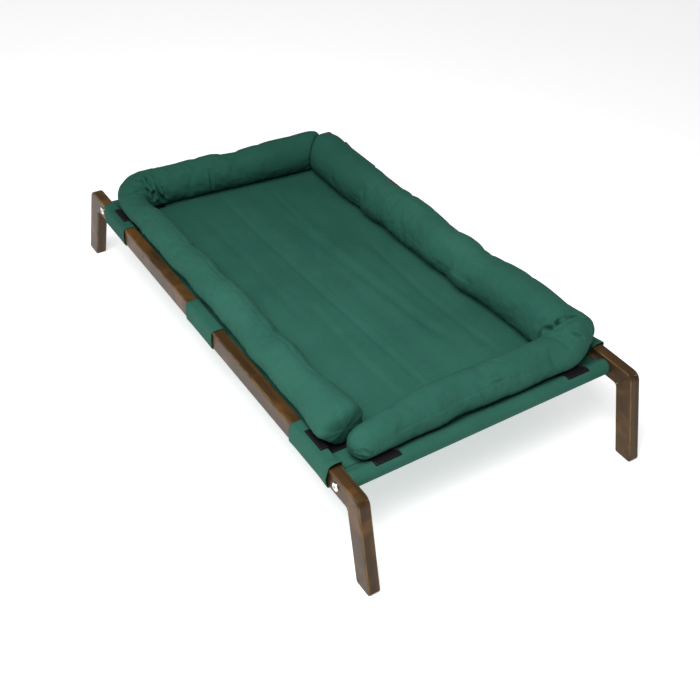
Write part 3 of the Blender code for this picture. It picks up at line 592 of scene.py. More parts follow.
def sleeve_wrap():
    """The cloth's middle in X and Z, from the top of the stitched line round the foot bar and back."""
    seam, bar = Vector((SEAM_X, PANEL_Z)), Vector((BAR_X, BAR_Z))
    to_seam = seam - bar
    start = math.atan2(to_seam.y, to_seam.x) - math.acos(SLEEVE_RADIUS / to_seam.length)
    turned = [
        bar + SLEEVE_RADIUS * Vector((math.cos(angle), math.sin(angle)))
        for angle in np.linspace(start, -start, 26)
    ]
    return [seam, *turned, Vector((SEAM_X, HEM_Z))]


def sling_rows():
    shares = np.linspace(-1, 1, round(2 * PANEL_Y / CLOTH_STEP) + 1)
    wrap = sleeve_wrap()
    past = [(point.x, point.y, SLEEVE_Y) for point in wrap[1:-1]]
    past += [(x, HEM_Z, LOOP_INNER_Y - GAP) for x in (SEAM_X, SEAM_X - SLEEVE_HEM)]
    rows = [[(-x, half * share, z) for share in shares] for x, z, half in reversed(past)]
    flat_x = SEAM_X - 0.004
    panel_x = np.linspace(-flat_x, flat_x, round(2 * flat_x / CLOTH_STEP) + 1)
    for x in (-SEAM_X, *panel_x, SEAM_X):
        y = PANEL_Y * shares
        rows.append(list(zip(np.full(len(y), x), y, bed_height(x, y))))
    rows += [[(x, half * share, z) for share in shares] for x, z, half in past]
    return rows


canvas = green_canvas("green canvas")
sling = piece("canvas_sling", cloth_mesh("canvas_sling", sling_rows(), canvas))
thicken(sling, CLOTH)
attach(sling, "bed")
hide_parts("sling")


# Side loops. Six short tabs of the same canvas, sewn over the sling's long hems and passed round the
# rails. The four corner loops are cut back beside the sleeves, and their open ends stand up.

LOOP_EASE = 0.0011
LOOP_UPPER_Z = PANEL_Z + CLOTH + GAP
LOOP_LOWER_Z = PANEL_Z - CLOTH - GAP
LOOP_TOP_Z = RAIL_TOP + LOOP_EASE + CLOTH / 2
LOOP_RISE_Y = INNER_Y - GAP - CLOTH / 2
LOOP_OUTER_Y = BED_WIDTH / 2 + LOOP_EASE + CLOTH / 2
LOOP_BOTTOM_Z = RAIL_TOP - BOARD_DEPTH - LOOP_EASE - CLOTH / 2
LOOP_TAPER = 0.0050
# from the bar's axis to a corner loop's outer and inner end
LOOP_TO_BAR = {
    ("left", "head"): (0.0175, 0.1125), ("left", "foot"): (0.0185, 0.1335),
    ("right", "head"): (0.0185, 0.1335), ("right", "foot"): (0.0325, 0.1125),
}
MIDDLE_LOOP_HALF = 0.049
MIDDLE_LOOP_SHIFT = 0.006
# how far the top and the side stand off at the bar end, and the side at the other end
LOOP_STANDS = {
    ("left", "foot"): (0.0092, 0.0056, 0.0012), ("left", "head"): (0.0046, 0.0010, 0.0018),
    ("right", "foot"): (0.0046, 0.0010, 0.0012), ("right", "head"): (0.0044, 0.0014, 0.0010),
    ("left", "middle"): (0.0012, 0.0010, 0.0012), ("right", "middle"): (0.0010, 0.0012, 0.0008),
}
# how far from its ends a loop rises and stands off
LOOP_RISE_REACH = 0.024
LOOP_STAND_REACH = 0.03
LOOP_FAR_REACH = 0.025
LOOP_POINTS = 84
LOOP_ROWS = 34


def loop_section(rise, stand):
    """A loop's section in Y and Z: over the sling's hem, round the right rail and back under."""
    soft = 0.0055
    middle_z = RAIL_TOP - BOARD_DEPTH / 2
    return spread_evenly(rounded([
        (LOOP_INNER_Y, LOOP_UPPER_Z, 0), (PANEL_Y + 0.001, LOOP_UPPER_Z, 0.006),
        (LOOP_RISE_Y, LOOP_TOP_Z + rise * 0.75, soft), (RAIL_Y, LOOP_TOP_Z + rise, 0.02),
        (LOOP_OUTER_Y, LOOP_TOP_Z + rise * 0.7, soft), (LOOP_OUTER_Y + stand, middle_z, 0.03),
        (LOOP_OUTER_Y, LOOP_BOTTOM_Z, soft), (LOOP_RISE_Y, LOOP_BOTTOM_Z, soft),
        (PANEL_Y + 0.001, LOOP_LOWER_Z, 0.006), (LOOP_INNER_Y, LOOP_LOWER_Z, 0),
    ]), LOOP_POINTS)


def loop_rows(side, place):
    """Rows along X of one loop, each the section there, brought to its own corner."""
    out = SIDES[side]
    rise, stand, far_stand = LOOP_STANDS[side, place]
    if place == "middle":
        middle, way = out * MIDDLE_LOOP_SHIFT, 1
        start, end = middle - MIDDLE_LOOP_HALF, middle + MIDDLE_LOOP_HALF
    else:
        start, end = (BAR_X - share for share in reversed(LOOP_TO_BAR[side, place]))
        way = ENDS[place]
    rows = []
    for share in np.linspace(0, 1, LOOP_ROWS):
        x = start + (end - start) * share
        lift = 0.0 if place == "middle" else rise * soft_step(x, end - LOOP_RISE_REACH, end + 0.002)
        bulge = stand * soft_step(x, end - LOOP_STAND_REACH, end)
        bulge += far_stand * soft_step(-x, -start - LOOP_FAR_REACH, -start)
        section = loop_section(lift, bulge)
        taper = 0.0 if place == "middle" else LOOP_TAPER * share ** 4
        shift = taper * soft_step(-section[:, 0], -LOOP_RISE_Y, 0.002 - LOOP_RISE_Y)
        rows.append(np.stack((way * (x - shift), out * section[:, 0], section[:, 1]), axis=1))
    return rows


loops = {}
for side, place in LOOP_STANDS:
    name = f"rail_loop_{side}_{place}"
    rows = loop_rows(side, place)
    loop = piece(name, cloth_mesh(name, rows, canvas))
    thicken(loop, CLOTH)
    loops[side, place] = rows
    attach(loop, "bed")
    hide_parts(f"side_loop_{side}_{place}")
    width = abs(rows[-1][-1, 0] - rows[0][-1, 0])


# Hook patches. Eight black rectangles of hook tape, one sewn on each corner loop and two on each
# sleeve. The bolsters' soft patches press onto their inner halves.

PATCH = 0.0012
PATCH_OFFSET = CLOTH / 2 + GAP + PATCH / 2
PATCH_WIDTH = 0.049
PATCH_ROWS, PATCH_POINTS = 12, 26
SIDE_PATCH_X = {
    ("right", "foot"): BAR_X - 0.083, ("left", "head"): 0.065 - BAR_X,
    ("right", "head"): 0.083 - BAR_X, ("left", "foot"): BAR_X - 0.083,
}
SIDE_PATCH_EDGE_Y = INNER_Y + 0.0135
END_PATCH_Y = INNER_Y - 0.071
END_PATCH_START_X = SEAM_X - 0.027
END_PATCH_END_X = BAR_X + 0.0065
HOOK_PITCH = (0.0009, 0.0013)


def hook_tape():
    """Black nylon hooks in rows on a woven ground."""
    material, start = new_finish("black hook tape", {
        "Sheen Weight": 0.04, "Sheen Roughness": 0.4, "Specular IOR Level": 0.2,
    })
    cloth = start.cloth()
    across, along, _ = cloth.parts()
    lines, steps = (
        (axis * (math.pi / pitch)).maths("SINE") for axis, pitch in zip((across, along), HOOK_PITCH)
    )
    hooks = cloth.noise(1500.0, 2.0, 0.7)
    tufts = abs(lines * steps) * 0.7 + hooks * 0.5
    return finished(material, {
        "Base Color": tufts.rising(0.3, 1.0).between((0.003, 0.002, 0.003), (0.014, 0.009, 0.012)),
        "Roughness": 0.55 + hooks * 0.3,
        "Normal": tufts.bump(0.6, 0.0005),
    })


def patch_path(kind):
    """A patch's path from under the bolster up over the foot bar, or over the right rail."""
    if kind == "end":
        over = [point for point in sleeve_wrap() if point.x < END_PATCH_END_X and point.y > BAR_Z]
        path = spread_evenly([(END_PATCH_START_X, PANEL_Z), *map(tuple, over)], 40)
        return spread_evenly(raised(path, PATCH_OFFSET), PATCH_POINTS)
    section = loop_section(0.0, 0.0)
    path = raised(section, PATCH_OFFSET)
    kept = (path[:, 0] < SIDE_PATCH_EDGE_Y) & (section[:, 1] > LOOP_UPPER_Z - GAP)
    return spread_evenly(path[kept & (path[:, 0] > LOOP_INNER_Y + GAP)], PATCH_POINTS)


def patch_rows(kind, side, end):
    """Rows of one patch, brought to its own corner."""
    out, height = patch_path(kind).T
    middle = SIDE_PATCH_X[side, end] if kind == "side" else SIDES[side] * END_PATCH_Y
    rows = []
    for place in np.linspace(middle - PATCH_WIDTH / 2, middle + PATCH_WIDTH / 2, PATCH_ROWS):
        flat = (np.full(PATCH_POINTS, place), SIDES[side] * out)
        if kind == "end":
            flat = (ENDS[end] * out, flat[0])
        rows.append(np.stack((*flat, height), axis=1))
    return rows


black_hooks = hook_tape()
patches = {}
for side in SIDES:
    for end in ENDS:
        for kind in ("side", "end"):
            rows = patch_rows(kind, side, end)
            name = f"hook_tape_{kind}_{side}_{end}"
            patch = piece(name, cloth_mesh(name, rows, black_hooks))
            thicken(patch, PATCH)
            patches[kind, side, end] = rows
            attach(patch, "bed")
            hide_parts(f"hook_patch_{kind}_{side}_{end}")


# Stitching. Green polyester thread: two rows along each sleeve's seam, one round each end of a
# sleeve and one along each edge of a loop. Black thread goes round each patch.

STITCH_PITCH = 0.0034
STITCH_LENGTH = 0.0027
THREAD_RADIUS = 0.00026
# how far a thread's middle stands off the cloth
THREAD_RISE = THREAD_RADIUS * 0.35
SEAM_SPACING = 0.0032
SLEEVE_END_INSET = 0.008
LOOP_EDGE_INSET = 0.0042
PATCH_EDGE_INSET = 0.0022
# the sling's rows from a seam round the bar to the hem, and the one that lies on its outer side
WRAP_ROWS = 30
WRAP_FRONT = 14


def sewing_thread(name, dark, light):
    """Twisted polyester thread."""
    sheen = {"Sheen Weight": 0.2, "Specular IOR Level": 0.4}
    return speckled(name, sheen, (2600.0, 1.0, 0.5), (dark, light), (0.5, 0.2))


def thread_tree(material):
    """Lays a bead of thread at every pitch along the runs of a mesh's edges."""
    tree, start, size = new_tree(
        f"sewn runs of {material.name}", ("Stitch pitch", "Stitch length", "Thread radius")
    )
    runs = start.node("GeometryNodeMeshToCurve", {}, {"Mesh": size["Geometry"]})
    spaced = start.node("GeometryNodeResampleCurve", {"mode": "LENGTH"}, {
        "Curve": runs, "Length": size["Stitch pitch"],
    })
    bead = start.node("GeometryNodeMeshUVSphere", {}, {"Segments": 6, "Rings": 4, "Radius": 1.0})
    thickness = size["Thread radius"]
    stitch = start.node("GeometryNodeTransform", {}, {
        "Geometry": bead,
        "Scale": start.node("ShaderNodeCombineXYZ", {}, {
            "X": thickness, "Y": thickness, "Z": size["Stitch length"] * 0.5,
        }),
    })
    facing = start.node("FunctionNodeAlignRotationToVector", {"axis": "Z"}, {
        "Vector": start.node("GeometryNodeInputTangent"),
    })
    stitches = start.node("GeometryNodeInstanceOnPoints", {}, {
        "Points": spaced, "Instance": stitch, "Rotation": facing,
    })
    smooth = start.node("GeometryNodeSetShadeSmooth", {}, {"Geometry": stitches})
    close_tree(smooth, material)
    return tree


def sewn(name, runs, material):
    """Stitches along runs of points on the bed's cloth, as one piece."""
    verts, edges = [], []
    for run in runs:
        edges += [(len(verts) + step, len(verts) + step + 1) for step in range(len(run) - 1)]
        verts += run.tolist()
    mesh = bpy.data.meshes.new(name)
    mesh.from_pydata(verts, edges, [])
    thread = grown(name, mesh, thread_tree(material), {
        "Stitch pitch": STITCH_PITCH, "Stitch length": STITCH_LENGTH,
        "Thread radius": THREAD_RADIUS,
    })
    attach(thread, "bed")


def cloth_run(rows, thickness, edge, along_rows, outward, judged=None):
    """A run over a sheet, a distance inside one of its edges, on the face that looks outward."""
    rows = np.asarray(rows, float)
    if not along_rows:
        rows = rows.swapaxes(0, 1)
    if edge < 0:
        rows = rows[::-1]
    depth = lengths_along(rows[:, rows.shape[1] // 2])
    index = int(np.searchsorted(depth, abs(edge)))
    share = (abs(edge) - depth[index - 1]) / (depth[index] - depth[index - 1])
    line = rows[index - 1] * (1 - share) + rows[index] * share
    normal = np.cross(np.gradient(line, axis=0), rows[index] - rows[index - 1])
    normal /= np.linalg.norm(normal, axis=1)[:, None]
    facing = np.dot(normal[len(line) // 2 if judged is None else judged], outward)
    return line + normal * math.copysign(thickness / 2 + THREAD_RISE, facing)


green_runs = []
for way in ENDS.values():
    for inset in (0.0, SEAM_SPACING):
        y = np.linspace(-PANEL_Y + 0.004, PANEL_Y - 0.004, 90)
        x = np.full(len(y), way * (SEAM_X - inset))
        green_runs.append(np.stack((x, y, bed_height(x, y) + CLOTH / 2 + THREAD_RISE), axis=1))
    rows = sling_rows()[::way][-WRAP_ROWS:]
    for side in SIDES.values():
        inset = -SLEEVE_END_INSET * side
        green_runs.append(cloth_run(rows, CLOTH, inset, False, (way, 0, 0), WRAP_FRONT)[2:-2])
for (side, place), rows in loops.items():
    for inset in (LOOP_EDGE_INSET, -LOOP_EDGE_INSET):
        green_runs.append(cloth_run(rows, CLOTH, inset, True, (0, SIDES[side], 0))[3:-3])
green_thread = sewing_thread("green thread", (0.012, 0.058, 0.043), (0.03, 0.115, 0.087))
sewn("bed_stitching", green_runs, green_thread)

black_runs = [
    cloth_run(rows, PATCH, inset, along_rows, (0, 0, 1))[1:-1] for rows in patches.values()
    for inset in (PATCH_EDGE_INSET, -PATCH_EDGE_INSET) for along_rows in (True, False)
]
black_thread = sewing_thread("black thread", (0.003, 0.003, 0.004), (0.012, 0.010, 0.012))
sewn("patch_stitching", black_runs, black_thread)


# Bolsters. Two soft tubes of green canvas stuffed with loose fibre, each bent once at a corner: the
# left one lies along the left rail and the head end, the right one along the right rail and the foot
# end. Each is blown up in a cloth simulation between its pinched folds, then creased and seated.

BEND_RADIUS = 0.047
PRESSED = 0.18
SAG = 0.55
LONG_SEAT_Z = LOOP_UPPER_Z + CLOTH / 2 + 2 * (PATCH + GAP) + GAP
SHORT_SEAT_Z = PANEL_Z + CLOTH / 2 + 2 * (PATCH + GAP) + GAP
SEAT_EASE = 0.002
SEAT_CLEAR = CLOTH / 2 + GAP + PATCH + GAP + SEAT_EASE
SEAT_BANK = 1.25
RAIL_SEAT_Z = LOOP_TOP_Z + 0.005 + SEAT_CLEAR
BANK_Y = LOOP_RISE_Y - (RAIL_SEAT_Z - LONG_SEAT_Z) / SEAT_BANK
# two waves along a bolster: each one's share of the girth, and its length
LUMPS = ((0.012, 0.153), (0.010, 0.273))
KNUCKLE_REACH = 0.3
TUCK_PLACE, TUCK_REACH = 1.75, 0.6
PLEAT_HALF_WIDTH = 0.0042
FOLD_ROOM = 0.004
MEETING_REACH = 0.18
MEETING_CORNER = np.array((-0.3662, 0.158))
MEETING_TURN = math.radians(49)
MEETING_NORMAL = np.array((math.sin(MEETING_TURN), math.cos(MEETING_TURN)))
BOLSTER_SPACE = 0.002
RING_STEP = 0.006
RING_POINTS = 56
VOXEL = 0.0048
SLACK, QUICK_SLACK = 0.0026, 0.0008
SWELL_CAP = 0.0045
SWELL_FRAMES = 20
SEAT_MARGIN = 0.0012
# the cover's cloth settings; its gravity is off, so only the stuffing's pressure moves it
COVER = {
    "quality": 5, "mass": 0.25, "tension_stiffness": 8, "compression_stiffness": 8,
    "shear_stiffness": 4, "bending_stiffness": 0.1, "shrink_min": -0.02, "use_pressure": True,
    "uniform_pressure_force": 6,
}
# Stray and girth go by place: 0 to 1 along the first arm, 1 to 2 round the bend, 2 to 3 along the
# second arm. Stray is how far the middle line lies outside the route, girth the half width there.
# Ends are each tip's length and bluntness, the knuckle a place and its bulge, the tuck how far the
# bend's inner side fills, and each pleat a share of the bend with its depth.
BOLSTERS = {
    "left": {
        "corner": (-0.4252, -0.2470), "tips": ((0.3785, -0.2470), (-0.4252, 0.2165)),
        "ends": ((0.015, 0.30), (0.045, 0.62)), "meeting_side": -1,
        "knuckle": (1.62, 0.001), "tuck": 0.010,
        "stray": (
            (0, -0.0075), (0.2, -0.0055), (0.5, -0.0068), (1, 0.0008), (2, 0), (2.65, -0.0175),
            (2.9, -0.0175), (3, -0.006),
        ),
        "girth": (
            (0, 0.0440), (0.15, 0.0370), (0.45, 0.0353), (0.75, 0.0335), (1, 0.0308), (2, 0.0385),
            (3, 0.0415),
        ),
        "pleats": ((0.10, 0.20), (0.36, 0.34), (0.60, 0.32), (0.88, 0.18)),
    },
    "right": {
        "corner": (0.4020, 0.2255), "tips": ((-0.4067, 0.2255), (0.4020, -0.2470)),
        "ends": ((0.050, 0.74), (0.030, 0.8)), "meeting_side": 1,
        "knuckle": (1.21, 0.012), "tuck": 0.002,
        "stray": (
            (0, -0.022), (0.25, -0.0265), (0.62, -0.0165), (1, -0.001), (2, 0), (2.45, -0.004),
            (3, 0.008),
        ),
        "girth": ((0, 0.0455), (0.6, 0.0447), (1, 0.048), (2, 0.036), (2.6, 0.0345), (3, 0.0295)),
        "pleats": ((0.22, 0.26), (0.52, 0.34), (0.80, 0.24)),
    },
}


def seat_height(x, y):
    """How low a bolster may reach: on the patches, up on to the rails and over the bars."""
    x, y = np.abs(x), np.abs(y)
    blend = np.clip((y - LOOP_INNER_Y) / SLEEVE_HEM + 2, 0, 1)
    height = SHORT_SEAT_Z + (LONG_SEAT_Z - SHORT_SEAT_Z) * blend
    by_rail = LONG_SEAT_Z + np.maximum(y - BANK_Y, 0) * SEAT_BANK
    height = np.maximum(height, np.minimum(by_rail, RAIL_SEAT_Z))
    rise = math.tan(math.asin(SLEEVE_RADIUS / (BAR_X - SEAM_X)))
    by_bar = SHORT_SEAT_Z + np.maximum(x - SEAM_X + SEAT_EASE, 0) * rise
    return np.maximum(height, np.minimum(by_bar, BAR_Z + SLEEVE_RADIUS + SEAT_CLEAR))


def eased(table, place):
    """A table's value at places, going smoothly from one entry to the next."""
    table = np.asarray(table, float)
    index = np.clip(np.searchsorted(table[:, 0], place, side="right") - 1, 0, len(table) - 2)
    start, before = table[index, 0], table[index, 1]
    end, after = table[index + 1, 0], table[index + 1, 1]
    share = np.clip((place - start) / (end - start), 0, 1)
    return before + (after - before) * share ** 2 * (3 - 2 * share)


def kept_apart(flat, direction, way):
    """Moves points back along their arm to their own side of the face where two ends press."""
    past = BOLSTER_SPACE / 2 - way * ((flat - MEETING_CORNER) @ MEETING_NORMAL)
    near = np.linalg.norm(flat - MEETING_CORNER, axis=-1) < MEETING_REACH
    past = np.where(near, np.maximum(past, 0), 0) / np.abs(direction @ MEETING_NORMAL)
    return flat + direction * past[..., None] * way


class Route:
    """A bolster's middle line on the bed, from one tip round its bend to the other."""

    def __init__(self, plan):
        first_tip, second_tip = np.array(plan["tips"], float)
        corner = np.array(plan["corner"], float)
        self.plan = plan
        self.first = (corner - first_tip) / np.linalg.norm(corner - first_tip)
        self.second = (second_tip - corner) / np.linalg.norm(second_tip - corner)
        self.centre = corner - self.first * BEND_RADIUS + self.second * BEND_RADIUS
        self.straight = np.linalg.norm(corner - first_tip) - BEND_RADIUS
        self.bend = BEND_RADIUS * math.pi / 2
        self.total = self.straight + self.bend + np.linalg.norm(second_tip - corner) - BEND_RADIUS
        self.knots = (0, self.straight, self.straight + self.bend, self.total)

    def place_on(self, distance):
        return np.interp(distance, self.knots, range(4))

    def stray(self, distance):
        return eased(self.plan["stray"], self.place_on(distance))

    def girth(self, distance):
        return eased(self.plan["girth"], self.place_on(distance))

    def at(self, distance):
        """Middle points, outward directions and directions of travel at distances."""
        distance = np.asarray(distance, float)
        along = distance[..., None]
        angle = np.clip((along - self.straight) / BEND_RADIUS, 0, math.pi / 2)
        outward = self.first * np.sin(angle) - self.second * np.cos(angle)
        direction = self.first * np.cos(angle) + self.second * np.sin(angle)
        past = along - np.clip(along, self.straight, self.straight + self.bend)
        place = self.centre + outward * BEND_RADIUS + direction * past
        return place + outward * self.stray(distance)[..., None], outward, direction

    def middle_height(self, distance, place):
        return seat_height(0, place[..., 1]) + self.girth(distance) * (1 - PRESSED)

    def find(self, points):
        """The distance along the route and the angle round the tube of points on the bolster."""
        flat = points[:, :2] - self.centre
        before, after = flat @ self.first, flat @ self.second
        angle = np.arctan2(np.maximum(before, 0), np.maximum(-after, 0))
        ahead = self.straight + self.bend + after
        distance = np.where(before < 0, self.straight + before, self.straight + BEND_RADIUS * angle)
        distance = np.where((after > 0) & (-before < after), ahead, distance)
        distance = np.clip(distance, 0, self.total)
        place, outward, _ = self.at(distance)
        sideways = ((points[:, :2] - place) * outward).sum(axis=1)
        return distance, np.arctan2(points[:, 2] - self.middle_height(distance, place), sideways)

    def fullness(self, distance):
        """Share of the girth: lumpy along the bolster, and closing at its ends."""
        full = 1 + sum(size * np.sin(2 * math.pi * distance / spacing) for size, spacing in LUMPS)
        to_tips = (distance, self.total - distance)
        for to_tip, (cap, bluntness) in zip(to_tips, self.plan["ends"]):
            full = full * (1 - (1 - np.clip(to_tip / cap, 0, 1)) ** 2) ** (bluntness / 2)
        return full

    def pleat_depth(self, distance, angle):
        """How deep the bend's pinched folds are: deepest inside it, and gone past the ridge."""
        inside = soft_step(-np.cos(angle), -0.45, 0.75) * soft_step(np.sin(angle), -0.75, -0.15)
        depth = 0.0
        for share, deep in self.plan["pleats"]:
            off = (distance - self.straight - share * self.bend) / PLEAT_HALF_WIDTH
            depth = np.maximum(depth, deep * np.exp(-off ** 2))
        return depth * inside

    def surface(self, distance, angle, slack=0.0):
        """Points on the tube at distances along it and angles round it, 0 being outward."""
        distance, angle = np.broadcast_arrays(np.asarray(distance, float), angle)
        place, outward, direction = self.at(distance)
        size = (self.girth(distance) - slack) * self.fullness(distance)
        depth = self.pleat_depth(distance, angle)
        knuckle, bulge = self.plan["knuckle"]
        off = np.clip(np.abs(self.place_on(distance) - knuckle) / KNUCKLE_REACH, 0, 1)
        across = np.cos(angle)
        sagging = np.sign(across) * np.abs(across) ** SAG
        across = np.where(np.sin(angle) < 0, sagging, across)
        outer = across * (size + bulge * np.cos(math.pi / 2 * off) ** 2)
        to_bend = np.maximum(np.abs(distance - self.straight - self.bend / 2) - self.bend / 2, 0)
        room = BEND_RADIUS - FOLD_ROOM + to_bend + self.stray(distance)
        off = np.clip(np.abs(self.place_on(distance) - TUCK_PLACE) / TUCK_REACH, 0, 1)
        tucked = self.plan["tuck"] * np.cos(math.pi / 2 * off) ** 2
        inner = np.maximum(across * (size + tucked) * (1 - depth), -room)
        flat = place + outward * np.where(across > 0, outer, inner)[..., None]
        flat = kept_apart(flat, direction, self.plan["meeting_side"])
        z = self.middle_height(distance, place) + size * (1 - 0.5 * depth) * np.sin(angle)
        z = np.maximum(z, seat_height(flat[..., 0], flat[..., 1]))
        return np.concatenate((flat, z[..., None]), axis=-1)


def bolster_tube(route):
    """The tube before it is blown up: rings round the route, slightly slack, with its folds in."""
    turns = np.linspace(0, math.pi / 2, 9)[1:-1]
    near, far = (end[0] for end in route.plan["ends"])
    distance = np.unique(np.concatenate((
        near * (1 - np.cos(turns)), route.total - far * (1 - np.cos(turns)),
        np.linspace(near, route.total - far, round(route.total / RING_STEP)),
        np.linspace(route.straight, route.straight + route.bend, 40),
    )))
    angle = np.linspace(0, 2 * math.pi, RING_POINTS, endpoint=False)
    slack = SLACK
    rings = route.surface(distance[:, None], angle[None, :], slack)
    bm = bmesh.new()
    loops_of_verts = [[bm.verts.new(point) for point in ring] for ring in rings]
    for near, far in zip(loops_of_verts, loops_of_verts[1:]):
        for index in range(RING_POINTS):
            after = (index + 1) % RING_POINTS
            bm.faces.new((near[index], near[after], far[after], far[index]))
    bm.faces.new(reversed(loops_of_verts[0]))
    bm.faces.new(loops_of_verts[-1])
    bmesh.ops.recalc_face_normals(bm, faces=bm.faces)
    mesh = bpy.data.meshes.new("bolster tube")
    bm.to_mesh(mesh)
    bm.free()
    return mesh


def settle(obj, kind, **settings):
    modifier = obj.modifiers.new(kind, kind)
    for name, value in settings.items():
        setattr(modifier, name, value)
    keep_result(obj, modifier)


def read_vertices(mesh, kind="co"):
    """Each vertex's place, or its normal."""
    values = np.empty(len(mesh.vertices) * 3, np.float32)
    mesh.vertices.foreach_get(kind, values)
    return values.reshape(-1, 3).astype(float)


def put_points(mesh, points):
    mesh.vertices.foreach_set("co", points.astype(np.float32).ravel())
    mesh.update()


def blow_up(obj, route):
    """Cloth simulation: the cover swells with its stuffing, held where it is pinched or pressed."""
    start = read_vertices(obj.data)
    distance, angle = route.find(start)
    held = np.clip(route.pleat_depth(distance, angle) * 4.0, 0, 1)
    on_seat = start[:, 2] < seat_height(start[:, 0], start[:, 1]) + SEAT_MARGIN
    held = np.maximum(held, on_seat * 0.9)
    group = obj.vertex_groups.new(name="held")
    for index in np.nonzero(held > 0.02)[0]:
        group.add([int(index)], float(held[index]), "REPLACE")
    cover = obj.modifiers.new("stuffed cover", "CLOTH")
    for name, value in COVER.items():
        setattr(cover.settings, name, value)
    cover.settings.vertex_group_mass = group.name
    cover.settings.effector_weights.gravity = 0
    cover.point_cache.frame_start, cover.point_cache.frame_end = 1, SWELL_FRAMES
    for step in range(1, SWELL_FRAMES + 1):
        studio.frame_set(step)
    result = obj.evaluated_get(bpy.context.evaluated_depsgraph_get())
    swell = read_vertices(result.data) - start
    obj.modifiers.remove(cover)
    obj.vertex_groups.clear()
    studio.frame_set(1)
    length = np.linalg.norm(swell, axis=1)
    swell *= np.minimum(1, SWELL_CAP / np.maximum(length, 1e-9))[:, None]
    moved = start + swell
    arm = route.second if route.plan["meeting_side"] < 0 else route.first
    moved[:, :2] = kept_apart(moved[:, :2], arm, route.plan["meeting_side"])
    put_points(obj.data, moved)


def near_line(points, line):
    """Distance from points to a polyline, and how far along it the nearest place is, as a share."""
    line = np.asarray(line, float)
    lengths = lengths_along(line)
    nearest = np.full(len(points), np.inf)
    share = np.zeros(len(points))
    for begin, finish, base in zip(line, line[1:], lengths):
        step = finish - begin
        length = np.linalg.norm(step)
        along = np.clip((points - begin) @ step / length ** 2, 0, 1)
        gap = np.linalg.norm(points - begin - along[:, None] * step, axis=1)
        share = np.where(gap < nearest, (base + along * length) / lengths[-1], share)
        nearest = np.minimum(nearest, gap)
    return nearest, share


def crease(points, normals, line, depth, half_width):
    """Presses a crease into a surface along a line near it, with soft lips beside it."""
    gap, share = near_line(points, line)
    fade = np.sin(math.pi * np.clip(share * 0.92 + 0.04, 0, 1)) ** 0.6
    off = gap / half_width
    push = -np.exp(-off ** 2) + 0.35 * np.exp(-((off - 1.9) / 0.8) ** 2)
    return points + normals * (push * depth * fade)[:, None]


def unwrap(mesh, route):
    """A UV map in metres: round the tube by along it."""
    distance, angle = route.find(read_vertices(mesh))
    corners = np.empty(len(mesh.loops), np.int32)
    mesh.loops.foreach_get("vertex_index", corners)
    starts = np.array([face.loop_start for face in mesh.polygons])
    counts = np.array([face.loop_total for face in mesh.polygons])
    first = np.repeat(angle[corners[starts]], counts)
    turn = angle[corners]
    turn = turn - 2 * math.pi * np.round((turn - first) / (2 * math.pi))
    uv = np.stack((turn * MEAN_GIRTH, distance[corners]), axis=1)
    layer = mesh.uv_layers.new(name="cloth")
    layer.uv.foreach_set("vector", uv.astype(np.float32).ravel())


def on_skin(route, line):
    """A line of places along a bolster and angles round it in degrees, as points on its tube."""
    line = np.array(line, float)
    steps = np.linspace(0, len(line) - 1, 6 * len(line))
    place, angle = (np.interp(steps, range(len(line)), column) for column in line.T)
    return route.surface(np.interp(place, range(4), route.knots), np.radians(angle))


def crumple(points, normals, route, seam):
    """Moves points along their normals for uneven stuffing, wrinkles, a puckered seam and
    gathered ends. The figures inside are waves per metre."""
    distance, angle = route.find(points)
    reach = angle * route.girth(distance)
    push = np.zeros(len(points))
    for index, (along, around) in enumerate(zip(distance.tolist(), reach.tolist())):
        spot = Vector((along * 16, around * 22, seam))
        broad = noise.noise(spot)
        ridge = 1 - abs(noise.noise(Vector((along * 46 + broad * 1.5, around * 26, 3 + seam))))
        patch = min(max(noise.noise(Vector((along * 9, around * 12, 7 + seam))) + 0.45, 0), 1)
        push[index] = STUFFING * broad - WRINKLE * patch * max(ridge - 0.86, 0) / 0.14
    off_seam = np.angle(np.exp(1j * (angle - seam))) * route.girth(distance)
    spacing = distance + 0.004 * np.sin(distance * 61) + 0.003 * np.sin(distance * 147)
    pucker = np.abs(np.sin(spacing * math.pi / PUCKER_SPACING)) ** 0.7
    pucker = pucker * (0.6 + 0.4 * np.sin(distance * 33)) - 0.5
    beside = np.exp(-((np.abs(off_seam) - 0.004) / 0.0075) ** 2)
    sewn_in = PUCKER * pucker * beside - SEAM_GROOVE * np.exp(-(off_seam / 0.0028) ** 2)
    to_tip = np.minimum(distance, route.total - distance)
    lumps = LUMP_SIZE * np.sin(distance * 41 + 1.3 * np.sin(distance * 23 + seam))
    lumps *= np.cos(angle - seam)
    in_bend = np.exp(-((route.place_on(distance) - 1.45) / 0.55) ** 4)
    push += (sewn_in * (1 - 0.75 * in_bend) + lumps) * soft_step(to_tip, 0.03, 0.09)
    gathers = np.cos(7 * angle + 2 * np.sin(2 * angle)) + 0.5 * np.cos(12 * angle + 1)
    push += GATHER * gathers * np.exp(-((to_tip - 0.008) / 0.011) ** 2)
    return points + normals * push[:, None]


MEAN_GIRTH = 0.037
# how far each kind of unevenness moves the cover
STUFFING = 0.0013
LUMP_SIZE = 0.0024
WRINKLE = 0.0008
PUCKER = 0.0013
PUCKER_SPACING = 0.013
SEAM_GROOVE = 0.0009
GATHER = 0.0007
BOLSTER_SEAMS = {"left": math.radians(108), "right": math.radians(30)}
